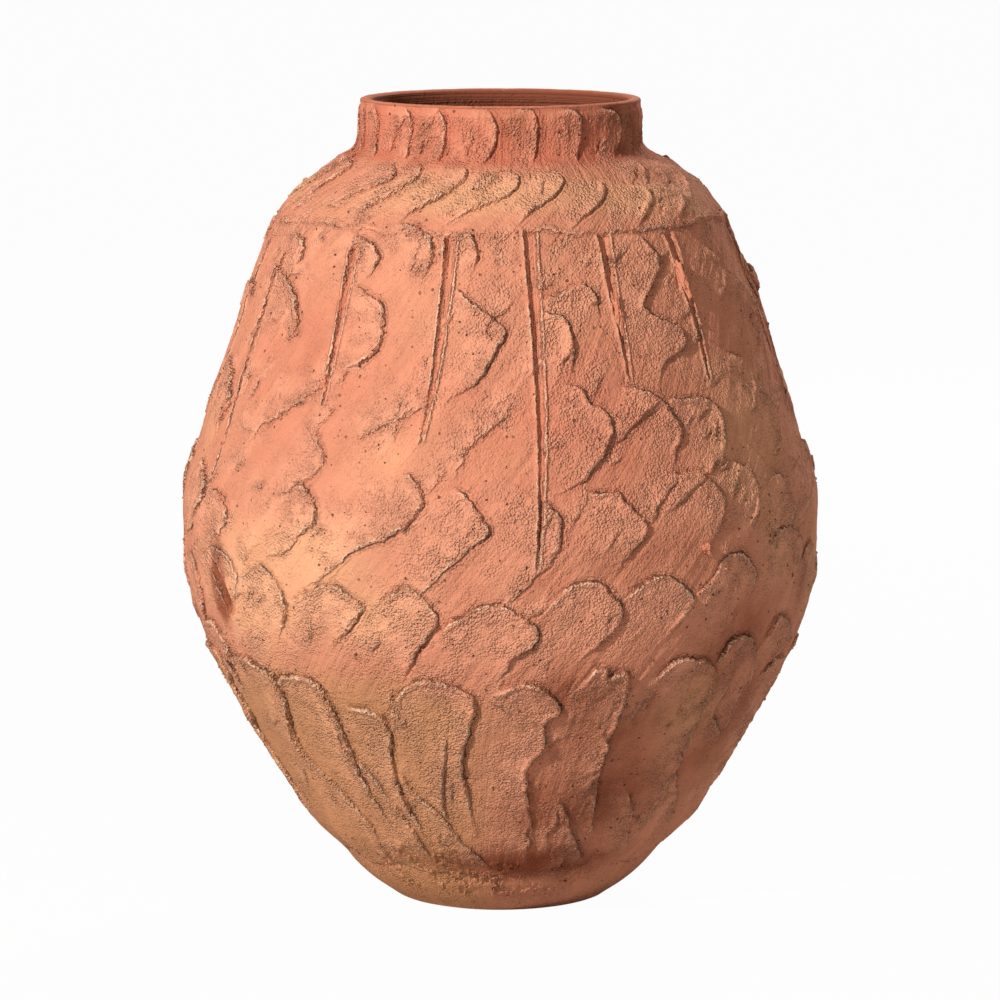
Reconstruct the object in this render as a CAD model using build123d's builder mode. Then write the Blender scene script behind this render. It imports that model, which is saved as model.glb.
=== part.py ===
"""A large hand-built storage jar (pithos) of coarse red clay.

The pot is raised as a stack of separately built wall rings, luted together one
on the other. Before the next ring goes on, the outside of a ring is dressed
with a course of wet clay dabs. Each dab is dragged upward with the hand: it is
thin at its left edge, and thick at its right edge and its rounded head, where
it laps over the dab beside it. Under the shoulder a fingertip has drawn
upright grooves between the dabs, each tapering to a point as it goes down.

Frame: millimetres, +Z up, the origin at the centre of the underside, and the
front of the jar at -Y. Seen from outside, angles grow towards the right.
"""

import os
from dataclasses import dataclass
from math import radians, sin, sqrt

from build123d import *

# Heights of the wall rings, from the floor up
base_height = 30.0
heel_height = 140.0
hip_height = 148.0
belly_height = 112.0
middle_height = 160.0
upper_height = 180.0
shoulder_height = 68.0
neck_height = 50.0
rim_height = 12.0

# Outer radius of the bare wall at each joint
foot_radius = 124.0
heel_radius = 164.0
hip_radius = 264.0
belly_radius = 355.0
waist_radius = 314.0
shoulder_radius = 243.0
collar_radius = 160.0
neck_radius = 155.0
rim_radius = 158.0

# How far the flank, under the belly, lies inside the belly's widest round
flank_set_in = 19.0

# Wall, mouth, lip and foot
wall_thickness = 20.0
mouth_radius = 140.5
foot_chamfer = 4.0
outer_lip_chamfer = 4.0
inner_lip_chamfer = 2.5

# Thickness of a dab at its right and left edges
ridge_thickness = 9.0
feather_thickness = 2.5
shoulder_ridge_thickness = 14.0
shoulder_feather_thickness = 6.0
neck_ridge_thickness = 6.0
neck_feather_thickness = 2.0

# How far the highest heads keep from the ring's upper joint, and how deep a dab is pressed in
head_margin = 3.0
pressed_depth = 5.0

# The grooves between the upper dabs, and the clay left in two of them
groove_width = 13.0
long_groove_width = 8.0
groove_depth = 3.0
lump_length = 48.0
lump_width = 15.0
lump_height = 5.0
lump_taper = 12.0
lump_drop = 78.0

# How many dabs go round in each course
hip_dab_count = 21
belly_dab_count = 20
middle_dab_count = 18
upper_dab_count = 17
shoulder_dab_count = 21
neck_dab_count = 18

# A dab's head as a share of its course's height, taken in turn round the jar
head_shares = (0.99, 0.92, 0.96)
# A dab's edges from its tail up: (share of the course's height, share of the lean it has made)
edge_shares = ((-0.08, 0.0), (0.42, 0.3), (0.8, 0.88))
# Where a groove runs out, as a share of its course's height
groove_point_share = 0.06
# How far a dab's left edge runs on under the dab beside it, as a share of the pitch
lap_share = 0.12

FULL_TURN = 360.0
# Where the longest groove stands, a little to the right of the front
LONG_GROOVE_ANGLE = -82.5
# The grooves with a lump of clay in them, counted to the right of the longest one
lump_groove_counts = (1, 2)


@dataclass(frozen=True)
class Ring:
    """One ring of the wall: the height and the outer radius at its lower and upper joint."""

    low: float
    low_radius: float
    high: float
    high_radius: float

    def radius(self, height):
        """The outer radius at a height."""
        share = (height - self.low) / (self.high - self.low)
        return self.low_radius + (self.high_radius - self.low_radius) * share


@dataclass(frozen=True)
class Course:
    """One round of dabs: the ring they dress, their number, lean, thickness and first place."""

    ring: Ring
    count: int
    lean_share: float
    ridge: float = ridge_thickness
    feather: float = feather_thickness
    first_edge: float = LONG_GROOVE_ANGLE
    swept: bool = False

    @property
    def low(self):
        """The height of the tails, which end on the ring's lower joint."""
        return self.ring.low

    @property
    def high(self):
        """The height that the highest heads reach."""
        return self.ring.high - head_margin

    @property
    def middle(self):
        """The height halfway up the course."""
        return self.level(0.5)

    @property
    def pitch(self):
        """The angle from one dab to the next."""
        return FULL_TURN / self.count

    @property
    def up(self):
        """The direction up the wall at +X."""
        run = self.ring.radius(self.high) - self.ring.radius(self.low)
        return Vector(run, 0, self.high - self.low).normalized()

    @property
    def out(self):
        """The direction square out of the wall at +X."""
        return Vector(self.up.Z, 0, -self.up.X)

    def level(self, share):
        """The height at a share of the course."""
        return self.low + (self.high - self.low) * share

    def turns(self, first=0, step=1):
        """The turns about the jar's axis that carry a dab at +X to its places."""
        start = self.first_edge + self.pitch / 2
        return [Rotation(0, 0, start + self.pitch * n) for n in range(first, self.count, step)]

    def wall_plane(self):
        """The plane that touches the wall at +X, its X to the right and its Y up the wall."""
        origin = (self.ring.radius(self.middle), 0, self.middle)
        return Plane(origin=origin, x_dir=(0, 1, 0), z_dir=self.out)

    def laid_flat(self, angle, height):
        """Where a spot of the wall, by its angle from +X and height, falls on the wall plane."""
        spot = Vector(self.ring.radius(height), 0, height).rotate(Axis.Z, angle)
        flat = self.wall_plane().to_local_coords(spot)
        return (flat.X, flat.Y)


def inside(radius):
    """The wall's inner radius where its outer radius is known."""
    return max(radius - wall_thickness, mouth_radius)


def make_ring(ring):
    """The bare wall of a ring: its outside, its drawn inside and two flat joints."""
    with BuildPart() as wall_ring:
        with BuildSketch(Plane.XZ):
            with BuildLine():
                Polyline(
                    (ring.low_radius, ring.low),
                    (ring.high_radius, ring.high),
                    (inside(ring.high_radius), ring.high),
                    (inside(ring.low_radius), ring.low),
                    close=True,
                )
            make_face()
        revolve(axis=Axis.Z)
    return wall_ring.part


def make_stave(course):
    """A length of clay as wide as a dab, drawn straight up the wall, thicker on its right."""
    radius = course.ring.radius(course.middle)
    curve = radius / course.out.X
    half_angle = course.pitch * (0.5 + lap_share + course.lean_share / 2)
    half_width = radius * sin(radians(half_angle))
    fall = curve - sqrt(curve**2 - half_width**2)
    thickness = (course.ridge + course.feather) / 2
    rise = (course.ridge - thickness) * half_angle / (course.pitch / 2)
    left = (-half_width, max(thickness - rise, 0) - fall)
    right = (half_width, thickness + rise - fall)
    bed = -min(fall + pressed_depth, wall_thickness / 2)
    origin = (radius, 0, course.middle)
    with BuildPart() as stave:
        with BuildSketch(Plane(origin=origin, x_dir=(0, 1, 0), z_dir=course.up * -1)):
            with BuildLine():
                ThreePointArc(left, (0, thickness), right)
                Polyline(right, (half_width, bed - fall), (0, bed), (-half_width, bed - fall), left)
            make_face()
        extrude(amount=course.high - course.low, both=True)
        split(bisect_by=Plane.XY.offset(course.ring.low), keep=Keep.TOP)
        split(bisect_by=Plane.XY.offset(course.ring.high), keep=Keep.BOTTOM)
    return stave.part


def draw_dab(course, head):
    """Draw a dab's outline on its wall plane: two edges, a round head and a cut tail."""

    def spot(side, share, lean):
        """A place on the left (-1) or the right (1) edge."""
        across = course.lean_share * (lean - 0.5) + side * 0.5 - (lap_share if side < 0 else 0)
        return course.laid_flat(across * course.pitch, course.level(share))

    shares = edge_shares if course.swept else (edge_shares[0], edge_shares[-1])
    right = [spot(1, *place) for place in shares]
    left = [spot(-1, *place) for place in reversed(shares)]
    draw_edge = ThreePointArc if course.swept else Line
    draw_edge(*right)
    ThreePointArc(right[-1], spot(0, head, 1), left[0])
    draw_edge(*left)
    Line(left[-1], right[0])


def make_dab(course, stave, head):
    """One dab at +X: the stave's clay inside the dab's outline."""
    with BuildPart() as dab:
        add(stave)
        with BuildSketch(course.wall_plane()):
            with BuildLine():
                draw_dab(course, head)
            make_face()
        extrude(amount=wall_thickness * 2, both=True, mode=Mode.INTERSECT)
    return dab.part


def dress_ring(course):
    """A ring with its course of dabs, which come in three shapes taken in turn."""
    stave = make_stave(course)
    with BuildPart() as dressed:
        add(make_ring(course.ring))
        for first, head in enumerate(head_shares):
            dab = make_dab(course, stave, head)
            with Locations(*course.turns(first, len(head_shares))):
                add(dab)
    return dressed.part


def make_groove(course, width):
    """The clay that a fingertip takes out beside a dab at +X: it tapers to a point low down."""
    edge = -course.pitch / 2
    head_x, head_y = course.laid_flat(edge, course.ring.high + groove_depth)
    point = course.laid_flat(edge, course.level(groove_point_share))
    with BuildPart() as groove:
        with BuildSketch(course.wall_plane().offset(-groove_depth)):
            with BuildLine():
                left, right = (head_x - width / 2, head_y), (head_x + width / 2, head_y)
                Polyline(left, right, point, close=True)
            make_face()
        extrude(amount=wall_thickness)
    return groove.part


def make_lump(course):
    """A lump of clay that has fallen into a groove, for a dab at +X."""
    x, y = course.laid_flat(-course.pitch / 2, course.ring.high - lump_drop)
    low_tip, high_tip = (x, y - lump_length / 2), (x, y + lump_length / 2)
    with BuildPart() as lump:
        with BuildSketch(course.wall_plane().offset(-groove_depth)):
            with BuildLine():
                ThreePointArc(low_tip, (x + lump_width / 2, y), high_tip)
                ThreePointArc(high_tip, (x - lump_width / 2, y), low_tip)
            make_face()
        extrude(amount=groove_depth + lump_height, taper=lump_taper)
    return lump.part


os.makedirs("parts", exist_ok=True)

heel_top = base_height + heel_height
hip_top = heel_top + hip_height
belly_top = hip_top + belly_height
middle_top = belly_top + middle_height
upper_top = middle_top + upper_height
shoulder_top = upper_top + shoulder_height
neck_top = shoulder_top + neck_height

flank_radius = belly_radius - flank_set_in

heel = Ring(base_height, heel_radius, heel_top, hip_radius)
hip = Ring(heel_top, hip_radius, hip_top, flank_radius)
belly = Ring(hip_top, flank_radius, belly_top, belly_radius)
middle = Ring(belly_top, belly_radius, middle_top, waist_radius)
upper = Ring(middle_top, waist_radius, upper_top, shoulder_radius)
shoulder = Ring(upper_top, shoulder_radius, shoulder_top, collar_radius)
neck = Ring(shoulder_top, neck_radius, neck_top, neck_radius)

hip_course = Course(hip, hip_dab_count, lean_share=0.2)
belly_course = Course(belly, belly_dab_count, lean_share=0.5)
middle_course = Course(middle, middle_dab_count, lean_share=0.7, swept=True)
upper_course = Course(upper, upper_dab_count, lean_share=0.0)
shoulder_course = Course(
    shoulder,
    shoulder_dab_count,
    lean_share=0.8,
    ridge=shoulder_ridge_thickness,
    feather=shoulder_feather_thickness,
    swept=True,
)
neck_course = Course(
    neck,
    neck_dab_count,
    lean_share=0.3,
    ridge=neck_ridge_thickness,
    feather=neck_feather_thickness,
)

# The floor slab, which the first ring stands on
with BuildPart() as base_slab:
    with BuildSketch(Plane.XZ):
        with BuildLine():
            Polyline((0, 0), (foot_radius, 0), (heel_radius, base_height), (0, base_height), close=True)
        make_face()
    revolve(axis=Axis.Z)
    chamfer(base_slab.edges().group_by(Axis.Z)[0], length=foot_chamfer)
base_slab.part.label = "base_slab"
export_step(base_slab.part, "parts/base_slab.step")

# The rings of the body, from the bare heel up
heel_ring = make_ring(heel)
heel_ring.label = "heel_ring"
export_step(heel_ring, "parts/heel_ring.step")

hip_ring = dress_ring(hip_course)
hip_ring.label = "hip_ring"
export_step(hip_ring, "parts/hip_ring.step")

belly_ring = dress_ring(belly_course)
belly_ring.label = "belly_ring"
export_step(belly_ring, "parts/belly_ring.step")

# The longest groove runs on through the middle ring at one place
with BuildPart() as middle_ring:
    add(dress_ring(middle_course))
    with Locations(middle_course.turns()[0]):
        add(make_groove(middle_course, long_groove_width), mode=Mode.SUBTRACT)
middle_ring.part.label = "middle_ring"
export_step(middle_ring.part, "parts/middle_ring.step")

with BuildPart() as upper_ring:
    add(dress_ring(upper_course))
    with Locations(*upper_course.turns()):
        add(make_groove(upper_course, groove_width), mode=Mode.SUBTRACT)
upper_ring.part.label = "upper_ring"
export_step(upper_ring.part, "parts/upper_ring.step")

shoulder_ring = dress_ring(shoulder_course)
shoulder_ring.label = "shoulder_ring"
export_step(shoulder_ring, "parts/shoulder_ring.step")

neck_collar = dress_ring(neck_course)
neck_collar.label = "neck_collar"
export_step(neck_collar, "parts/neck_collar.step")

# The last coil, drawn round into a lip that stands just proud of the neck
with BuildPart() as rim_coil:
    with BuildSketch(Plane.XY.offset(neck_top)):
        Circle(rim_radius)
        Circle(mouth_radius, mode=Mode.SUBTRACT)
    extrude(amount=rim_height)
    inner_edge, outer_edge = rim_coil.edges().group_by(Axis.Z)[-1].sort_by(SortBy.RADIUS)
    chamfer(inner_edge, length=inner_lip_chamfer)
    outer_edge = rim_coil.edges().group_by(Axis.Z)[-1].sort_by(SortBy.RADIUS)[-1]
    chamfer(outer_edge, length=outer_lip_chamfer)
rim_coil.part.label = "rim_coil"
export_step(rim_coil.part, "parts/rim_coil.step")

# The lumps of clay left in two of the grooves, pressed on to their floors
with BuildPart() as groove_lumps:
    with Locations(*(upper_course.turns()[count] for count in lump_groove_counts)):
        add(make_lump(upper_course))
    add(upper_ring.part, mode=Mode.SUBTRACT)
groove_lumps.part.label = "groove_lumps"
export_step(groove_lumps.part, "parts/groove_lumps.step")
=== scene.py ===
"""A large hand-built storage jar (pithos) of coarse red clay, dressed over its CAD frame.

The jar is a stack of wall rings. The outside of every ring follows one shared relief: dabs of wet
clay that a hand has dragged upward, each with a torn edge on its right and a thin start on its
left, fingertip grooves under the shoulder, and a crumbling lower end above the bare heel. The
relief is worked out once over the whole wall, and each ring takes its own band of it, so that
neighbouring rings meet without a step. Marks on the side that the photograph shows are placed by
where they stand in it; the far side carries the same hand's marks, laid out round the jar.

Frame: metres, +Z up, the front of the jar at -Y. Seen from outside, angles grow to the right.
Lengths of the relief are millimetres, as a potter would give them, and become metres in the mesh.
"""

from __future__ import annotations

import logging
import math
from dataclasses import dataclass, field
from enum import Enum

import bmesh
import bpy
import numpy as np
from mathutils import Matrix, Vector

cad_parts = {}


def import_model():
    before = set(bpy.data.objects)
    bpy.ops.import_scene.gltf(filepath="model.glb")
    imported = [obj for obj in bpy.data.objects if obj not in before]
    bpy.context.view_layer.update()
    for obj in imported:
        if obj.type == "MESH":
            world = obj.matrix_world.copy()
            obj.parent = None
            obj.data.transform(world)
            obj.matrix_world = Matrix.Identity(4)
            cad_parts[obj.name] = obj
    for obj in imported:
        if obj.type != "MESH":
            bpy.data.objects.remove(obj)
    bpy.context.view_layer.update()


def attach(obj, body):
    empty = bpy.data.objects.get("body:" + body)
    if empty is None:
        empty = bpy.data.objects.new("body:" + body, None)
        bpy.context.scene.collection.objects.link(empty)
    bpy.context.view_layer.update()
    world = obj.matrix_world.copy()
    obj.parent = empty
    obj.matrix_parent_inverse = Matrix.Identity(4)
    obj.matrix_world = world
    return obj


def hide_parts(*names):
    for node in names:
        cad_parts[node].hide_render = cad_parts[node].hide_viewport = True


LOG = logging.getLogger("pithos")
MM = 0.001
FRONT = -math.pi / 2
FULL_TURN = 2 * math.pi
# What the mark of the torn edges says where no edge is near, millimetres.
NO_EDGE = 9.0

Trace = tuple[tuple[float, float], ...]


class Slot(Enum):
    """The record's material slots."""

    BODY = "body_clay"
    BUFF = "buff_clay"
    TAN = "tan_clay"
    HEEL = "heel_clay"
    RIM = "rim_clay"


class Bloom(Enum):
    """The colours that the fire left on the clay, as names of the wall's vertex attributes. The red also
    carries painted shade, on the neck's right and inside the jar.
    """

    BUFF = "bloom_buff"
    TAN = "bloom_tan"
    RED = "bloom_red"
    BLUSH = "bloom_blush"


def ease(low: float, high: float, value: np.ndarray) -> np.ndarray:
    """Rises smoothly from 0 at low to 1 at high."""
    share = np.clip((value - low) / (high - low), 0.0, 1.0)
    return share * share * (3.0 - 2.0 * share)


def bell(value: np.ndarray, centre: float, width: float) -> np.ndarray:
    """A bump of height 1 at the centre that dies away over the width."""
    return np.exp(-(((value - centre) / width) ** 2))


def turned_from(angle: np.ndarray, zero: float) -> np.ndarray:
    """How far round each angle lies from a zero, between minus and plus half a turn."""
    return np.mod(angle - zero + math.pi, FULL_TURN) - math.pi


def add_object(name: str, mesh: bpy.types.Mesh) -> bpy.types.Object:
    """Puts a mesh into the scene as an object at the origin."""
    piece = bpy.data.objects.new(name, mesh)
    bpy.context.scene.collection.objects.link(piece)
    return piece


def write_mark(mesh: bpy.types.Mesh, name: str, values: np.ndarray) -> None:
    """Writes one number for each vertex of a mesh."""
    layer = mesh.attributes.new(name, "FLOAT", "POINT")
    layer.data.foreach_set("value", values.astype(np.float32))


def write_drag(mesh: bpy.types.Mesh, spots: np.ndarray) -> None:
    """Writes where each vertex lies in the space of the drag marks."""
    layer = mesh.attributes.new("drag", "FLOAT_VECTOR", "POINT")
    layer.data.foreach_set("vector", spots.astype(np.float32).ravel())


def grid_faces(rows: int, count: int, closed: bool = False) -> np.ndarray:
    """The four-cornered faces of a net that closes on itself round the jar.

    Args:
        rows: How many rows of faces there are.
        count: How many faces go round.
        closed: Whether the last row joins the first line of spots again.

    Returns:
        The vertex numbers of each face, in the order that looks outward.
    """
    row, column = np.meshgrid(np.arange(rows), np.arange(count), indexing="ij")
    after = (column + 1) % count
    above = (row + 1) % rows if closed else row + 1
    return np.stack([row * count + column, row * count + after,
                     above * count + after, above * count + column], axis=2).reshape(-1, 4)


@dataclass(frozen=True)
class Viewpoint:
    """Where the photograph was taken from.

    Args:
        eye: The camera's place, metres.
        target: The point it looks at.
        frame_px: The photograph's width.
        focal_px: The focal length in pixels.
        centre_px: Where the camera's axis meets the photograph.
        sensor_mm: The width of the sensor that the focal length is given for.
        near: Where the search for the wall along a ray starts, metres from the eye.
        far: Where it ends.
        steps: In how many steps it goes.
        sight: How far the camera sees, metres.
    """

    eye: tuple[float, float, float] = (0.0, -5.0, 1.23)
    target: tuple[float, float, float] = (0.0, 0.0, 0.45)
    frame_px: float = 1000.0
    focal_px: float = 4475.0
    centre_px: tuple[float, float] = (500.5, 495.6)
    sensor_mm: float = 36.0
    near: float = 4.4
    far: float = 5.3
    steps: int = 1800
    sight: float = 200.0

    def make_camera(self) -> bpy.types.Object:
        """The scene's camera, standing where the photograph was taken.

        Returns:
            The camera object, which is also made the scene's own.
        """
        data = bpy.data.cameras.new("photo_camera")
        data.sensor_width = self.sensor_mm
        data.lens = self.focal_px / self.frame_px * self.sensor_mm
        data.shift_x = (self.frame_px / 2 - self.centre_px[0]) / self.frame_px
        data.shift_y = (self.centre_px[1] - self.frame_px / 2) / self.frame_px
        data.clip_end = self.sight
        camera = bpy.data.objects.new("photo_camera", data)
        camera.location = self.eye
        line = Vector(self.target) - Vector(self.eye)
        camera.rotation_euler = line.to_track_quat("-Z", "Y").to_euler()
        bpy.context.scene.collection.objects.link(camera)
        bpy.context.scene.camera = camera
        return camera

    def on_wall(self, pixels: Trace, profile: "WallProfile") -> np.ndarray:
        """Where spots of the photograph lie on the jar's wall.

        Args:
            pixels: The spots, as (x, y) in the photograph.
            profile: The wall's outer line.

        Returns:
            One row for each spot: its angle round the jar and its way up the wall, metres.
        """
        eye, target = np.array(self.eye), np.array(self.target)
        ahead = (target - eye) / np.linalg.norm(target - eye)
        right = np.array([1.0, 0.0, 0.0])
        up = np.cross(right, ahead)
        spots = np.asarray(pixels, float)
        side = (spots[:, 0] - self.centre_px[0]) / self.focal_px
        drop = (spots[:, 1] - self.centre_px[1]) / self.focal_px
        rays = ahead + side[:, None] * right - drop[:, None] * up
        reach = np.linspace(self.near, self.far, self.steps)
        points = eye + rays[:, None, :] * reach[None, :, None]
        gap = np.hypot(points[..., 0], points[..., 1]) - profile.radius(points[..., 2])
        inside = gap < 0
        first = np.where(inside.any(axis=1), inside.argmax(axis=1), gap.argmin(axis=1))
        hit = points[np.arange(len(spots)), first]
        angle = np.arctan2(hit[:, 1], hit[:, 0])
        return np.stack([angle, profile.arc(hit[:, 2])], axis=1)


@dataclass
class WallProfile:
    """The jar's outer line from the foot to the rim, a smooth curve through given points.

    Args:
        points: The points as (height, radius), in millimetres.
    """

    points: Trace = (
        (0, 123), (6, 131.5), (18, 148.5), (35, 167), (60, 187), (90, 216), (130, 239.5),
        (180, 269.5), (240, 304.5), (300, 333.5), (350, 348.8), (400, 355.2), (440, 355.6),
        (475, 350), (505, 341), (560, 325.5), (620, 304.5), (690, 279.5), (750, 255.5),
        (772, 245.5), (795, 226.5), (812, 205.5), (823, 193), (830, 183), (835, 172.5),
        (840, 163.5), (846, 158.8), (855, 156.4), (868, 155.4), (888, 155.2), (897, 155.4),
    )
    heights: np.ndarray = field(init=False)
    radii: np.ndarray = field(init=False)
    slopes: np.ndarray = field(init=False)

    def __post_init__(self) -> None:
        """Works out the curve's slopes, which never overshoot a point, and its length table."""
        table = np.array(self.points) * MM
        self.heights, self.radii = table[:, 0], table[:, 1]
        steps = np.diff(self.heights)
        chords = np.diff(self.radii) / steps
        slopes = np.zeros(len(self.heights))
        slopes[0], slopes[-1] = chords[0], chords[-1]
        same = chords[:-1] * chords[1:] > 0
        before, after = steps[:-1], steps[1:]
        weight_a, weight_b = 2 * after + before, after + 2 * before
        with np.errstate(divide="ignore", invalid="ignore"):
            mean = (weight_a + weight_b) / (weight_a / chords[:-1] + weight_b / chords[1:])
        slopes[1:-1] = np.where(same, mean, 0.0)
        self.slopes = slopes
        self._fine = np.linspace(self.heights[0], self.heights[-1], 6000)
        across = np.diff(self.radius(self._fine))
        self._lengths = np.concatenate([[0.0], np.cumsum(np.hypot(np.diff(self._fine), across))])

    def radius(self, height: np.ndarray) -> np.ndarray:
        """The outer radius at each height."""
        level = np.clip(height, self.heights[0], self.heights[-1])
        cell = np.clip(np.searchsorted(self.heights, level) - 1, 0, len(self.heights) - 2)
        step = self.heights[cell + 1] - self.heights[cell]
        t = (level - self.heights[cell]) / step
        near = (1 + 2 * t) * (1 - t) ** 2 * self.radii[cell] + t * (1 - t) ** 2 * step * self.slopes[cell]
        far = t**2 * (3 - 2 * t) * self.radii[cell + 1] + t**2 * (t - 1) * step * self.slopes[cell + 1]
        return near + far

    def arc(self, height: np.ndarray) -> np.ndarray:
        """The way up the wall, along its outer line, to each height."""
        return np.interp(height, self._fine, self._lengths)

    def height(self, arc: np.ndarray) -> np.ndarray:
        """The height at each way up the wall."""
        return np.interp(arc, self._lengths, self._fine)


@dataclass
class ClayNoise:
    """Seeded smooth unevenness over the wall, which closes on itself round the jar.

    Args:
        seed: The seed that every field starts from.
        reference_radius: The radius at which a wave has its full width, metres.
        wall_length: A way up that is longer than the wall.
    """

    seed: int = 11
    reference_radius: float = 0.30
    wall_length: float = 1.4

    def field(self, angle: np.ndarray, arc: np.ndarray, cell: float, tall: float = 1.0,
              lean: np.ndarray | float = 0.0) -> np.ndarray:
        """A field of values between -1 and 1.

        Args:
            angle: The angle of each spot.
            arc: The way up the wall of each spot, metres.
            cell: The width of one wave, millimetres.
            tall: How many times taller than wide a wave is.
            lean: The angle by which the waves have turned at each spot, for dragged marks.

        Returns:
            The value at each spot.
        """
        self.seed += 1
        columns = max(4, round(FULL_TURN * self.reference_radius / (cell * MM)))
        rows = int(self.wall_length / (cell * tall * MM)) + 4
        lattice = np.random.default_rng(self.seed).uniform(-1, 1, (rows, columns))
        x = (angle - lean) / FULL_TURN * columns
        y = arc / (cell * tall * MM)
        x0, y0 = np.floor(x).astype(int), np.floor(y).astype(int)
        fx, fy = x - x0, y - y0
        fx, fy = fx**3 * (fx * (6 * fx - 15) + 10), fy**3 * (fy * (6 * fy - 15) + 10)
        left, right = x0 % columns, (x0 + 1) % columns
        low, high = y0 % rows, (y0 + 1) % rows
        under = lattice[low, left] * (1 - fx) + lattice[low, right] * fx
        over = lattice[high, left] * (1 - fx) + lattice[high, right] * fx
        return under * (1 - fy) + over * fy


@dataclass(frozen=True)
class Touch:
    """How the torn edge of a dab stands on the wall, in millimetres.

    Args:
        height: How far the clay stands proud at its edge.
        fade: How far behind the edge it has sunk to a third.
        bead: The height of the narrow ridge that the hand left along the edge.
        drop: The width of the torn face.
        jag: How far the outline wanders.
        start: The share of the edge over which it rises at its start.
        end: The share over which it dies at its end.
    """

    height: float = 4.2
    fade: float = 30.0
    bead: float = 0.8
    drop: float = 1.9
    jag: float = 1.7
    start: float = 0.16
    end: float = 0.3


# Each trace is walked with the raised clay on the right hand, in pixels of the photograph.
NECK_EDGES: tuple[Trace, ...] = (
    ((374, 104), (380, 117), (379, 138), (372, 160)),
    ((404, 106), (413, 118), (412, 142), (404, 163)),
    ((436, 106), (445, 120), (445, 144), (436, 164)),
    ((470, 106), (489, 112), (496, 130), (493, 150), (480, 166)),
    ((514, 107), (533, 112), (536, 136), (534, 166)),
    ((556, 107), (576, 112), (580, 134), (577, 164)),
    ((598, 106), (614, 113), (617, 134), (613, 158)),
)
SHOULDER_EDGES: tuple[Trace, ...] = (
    ((390, 167), (397, 173), (394, 179), (380, 187), (352, 196), (333, 208)),
    ((418, 164), (422, 170), (418, 179), (404, 188), (384, 200), (362, 214), (348, 226)),
    ((461, 166), (467, 172), (462, 182), (450, 192), (428, 204), (405, 219), (392, 230)),
    ((496, 174), (513, 175), (519, 184), (506, 198), (478, 208), (455, 220), (440, 231)),
    ((540, 175), (556, 175), (562, 184), (552, 200), (533, 211), (512, 231)),
    ((584, 182), (598, 183), (604, 192), (596, 208), (578, 222), (566, 235)),
    ((628, 188), (643, 190), (649, 199), (645, 214), (636, 228)),
    ((344, 160), (351, 163), (350, 170), (330, 182), (308, 198), (296, 208)),
    ((662, 190), (677, 195), (682, 206), (676, 220)),
)
UPPER_EDGES: tuple[Trace, ...] = (
    ((276, 262), (292, 284), (298, 306), (297, 329), (282, 351)),
    ((300, 232), (306, 250), (298, 268)),
    ((356, 234), (372, 246), (379, 259), (366, 282)),
    ((354, 286), (366, 292), (381, 306), (384, 322), (380, 344), (366, 360), (338, 374)),
    ((398, 226), (413, 227), (429, 239), (433, 257), (424, 277), (417, 286)),
    ((460, 236), (472, 237), (477, 255), (474, 270)),
    ((452, 290), (462, 293), (478, 311), (491, 317), (505, 335), (491, 358), (482, 375),
     (471, 387), (438, 407)),
    ((540, 312), (551, 315), (565, 322), (573, 347), (569, 377)),
    ((538, 304), (551, 299), (574, 287), (588, 288), (596, 300), (598, 322)),
    ((560, 384), (581, 390), (588, 402), (604, 414), (611, 430), (604, 451), (590, 469),
     (581, 483), (547, 497)),
    ((618, 238), (638, 237), (650, 251), (657, 269), (648, 290), (641, 306), (654, 318), (677, 327),
     (682, 345), (664, 363), (659, 382), (657, 398)),
    ((702, 246), (716, 262), (722, 286), (712, 306)),
    ((744, 262), (756, 284), (752, 306), (742, 320)),
    ((618, 388), (631, 390), (659, 400), (670, 416), (680, 432), (673, 453), (676, 474)),
    ((664, 402), (677, 400), (703, 400), (719, 416), (721, 455), (710, 476)),
    ((726, 352), (744, 366), (752, 392), (746, 420)),
    ((756, 392), (772, 408), (778, 436), (770, 458)),
)
MIDDLE_EDGES: tuple[Trace, ...] = (
    ((288, 482), (305, 488), (316, 506), (315, 521), (304, 530), (289, 548), (262, 560)),
    ((214, 486), (226, 500), (228, 520), (216, 536), (206, 546)),
    ((398, 474), (414, 481), (423, 501), (415, 519), (384, 539), (357, 548), (324, 577), (300, 590)),
    ((450, 486), (465, 495), (482, 521), (485, 536), (458, 559), (422, 593), (404, 612)),
    ((536, 498), (547, 505), (560, 521), (560, 542), (542, 574)),
    ((582, 492), (599, 494), (618, 494), (627, 507), (641, 517), (644, 533), (629, 553), (611, 581)),
    ((668, 474), (680, 475), (700, 474), (710, 484), (721, 505), (716, 532), (700, 552)),
    ((730, 462), (746, 470), (756, 490), (752, 520), (738, 548)),
    ((770, 470), (784, 486), (790, 510), (784, 536)),
)
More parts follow.
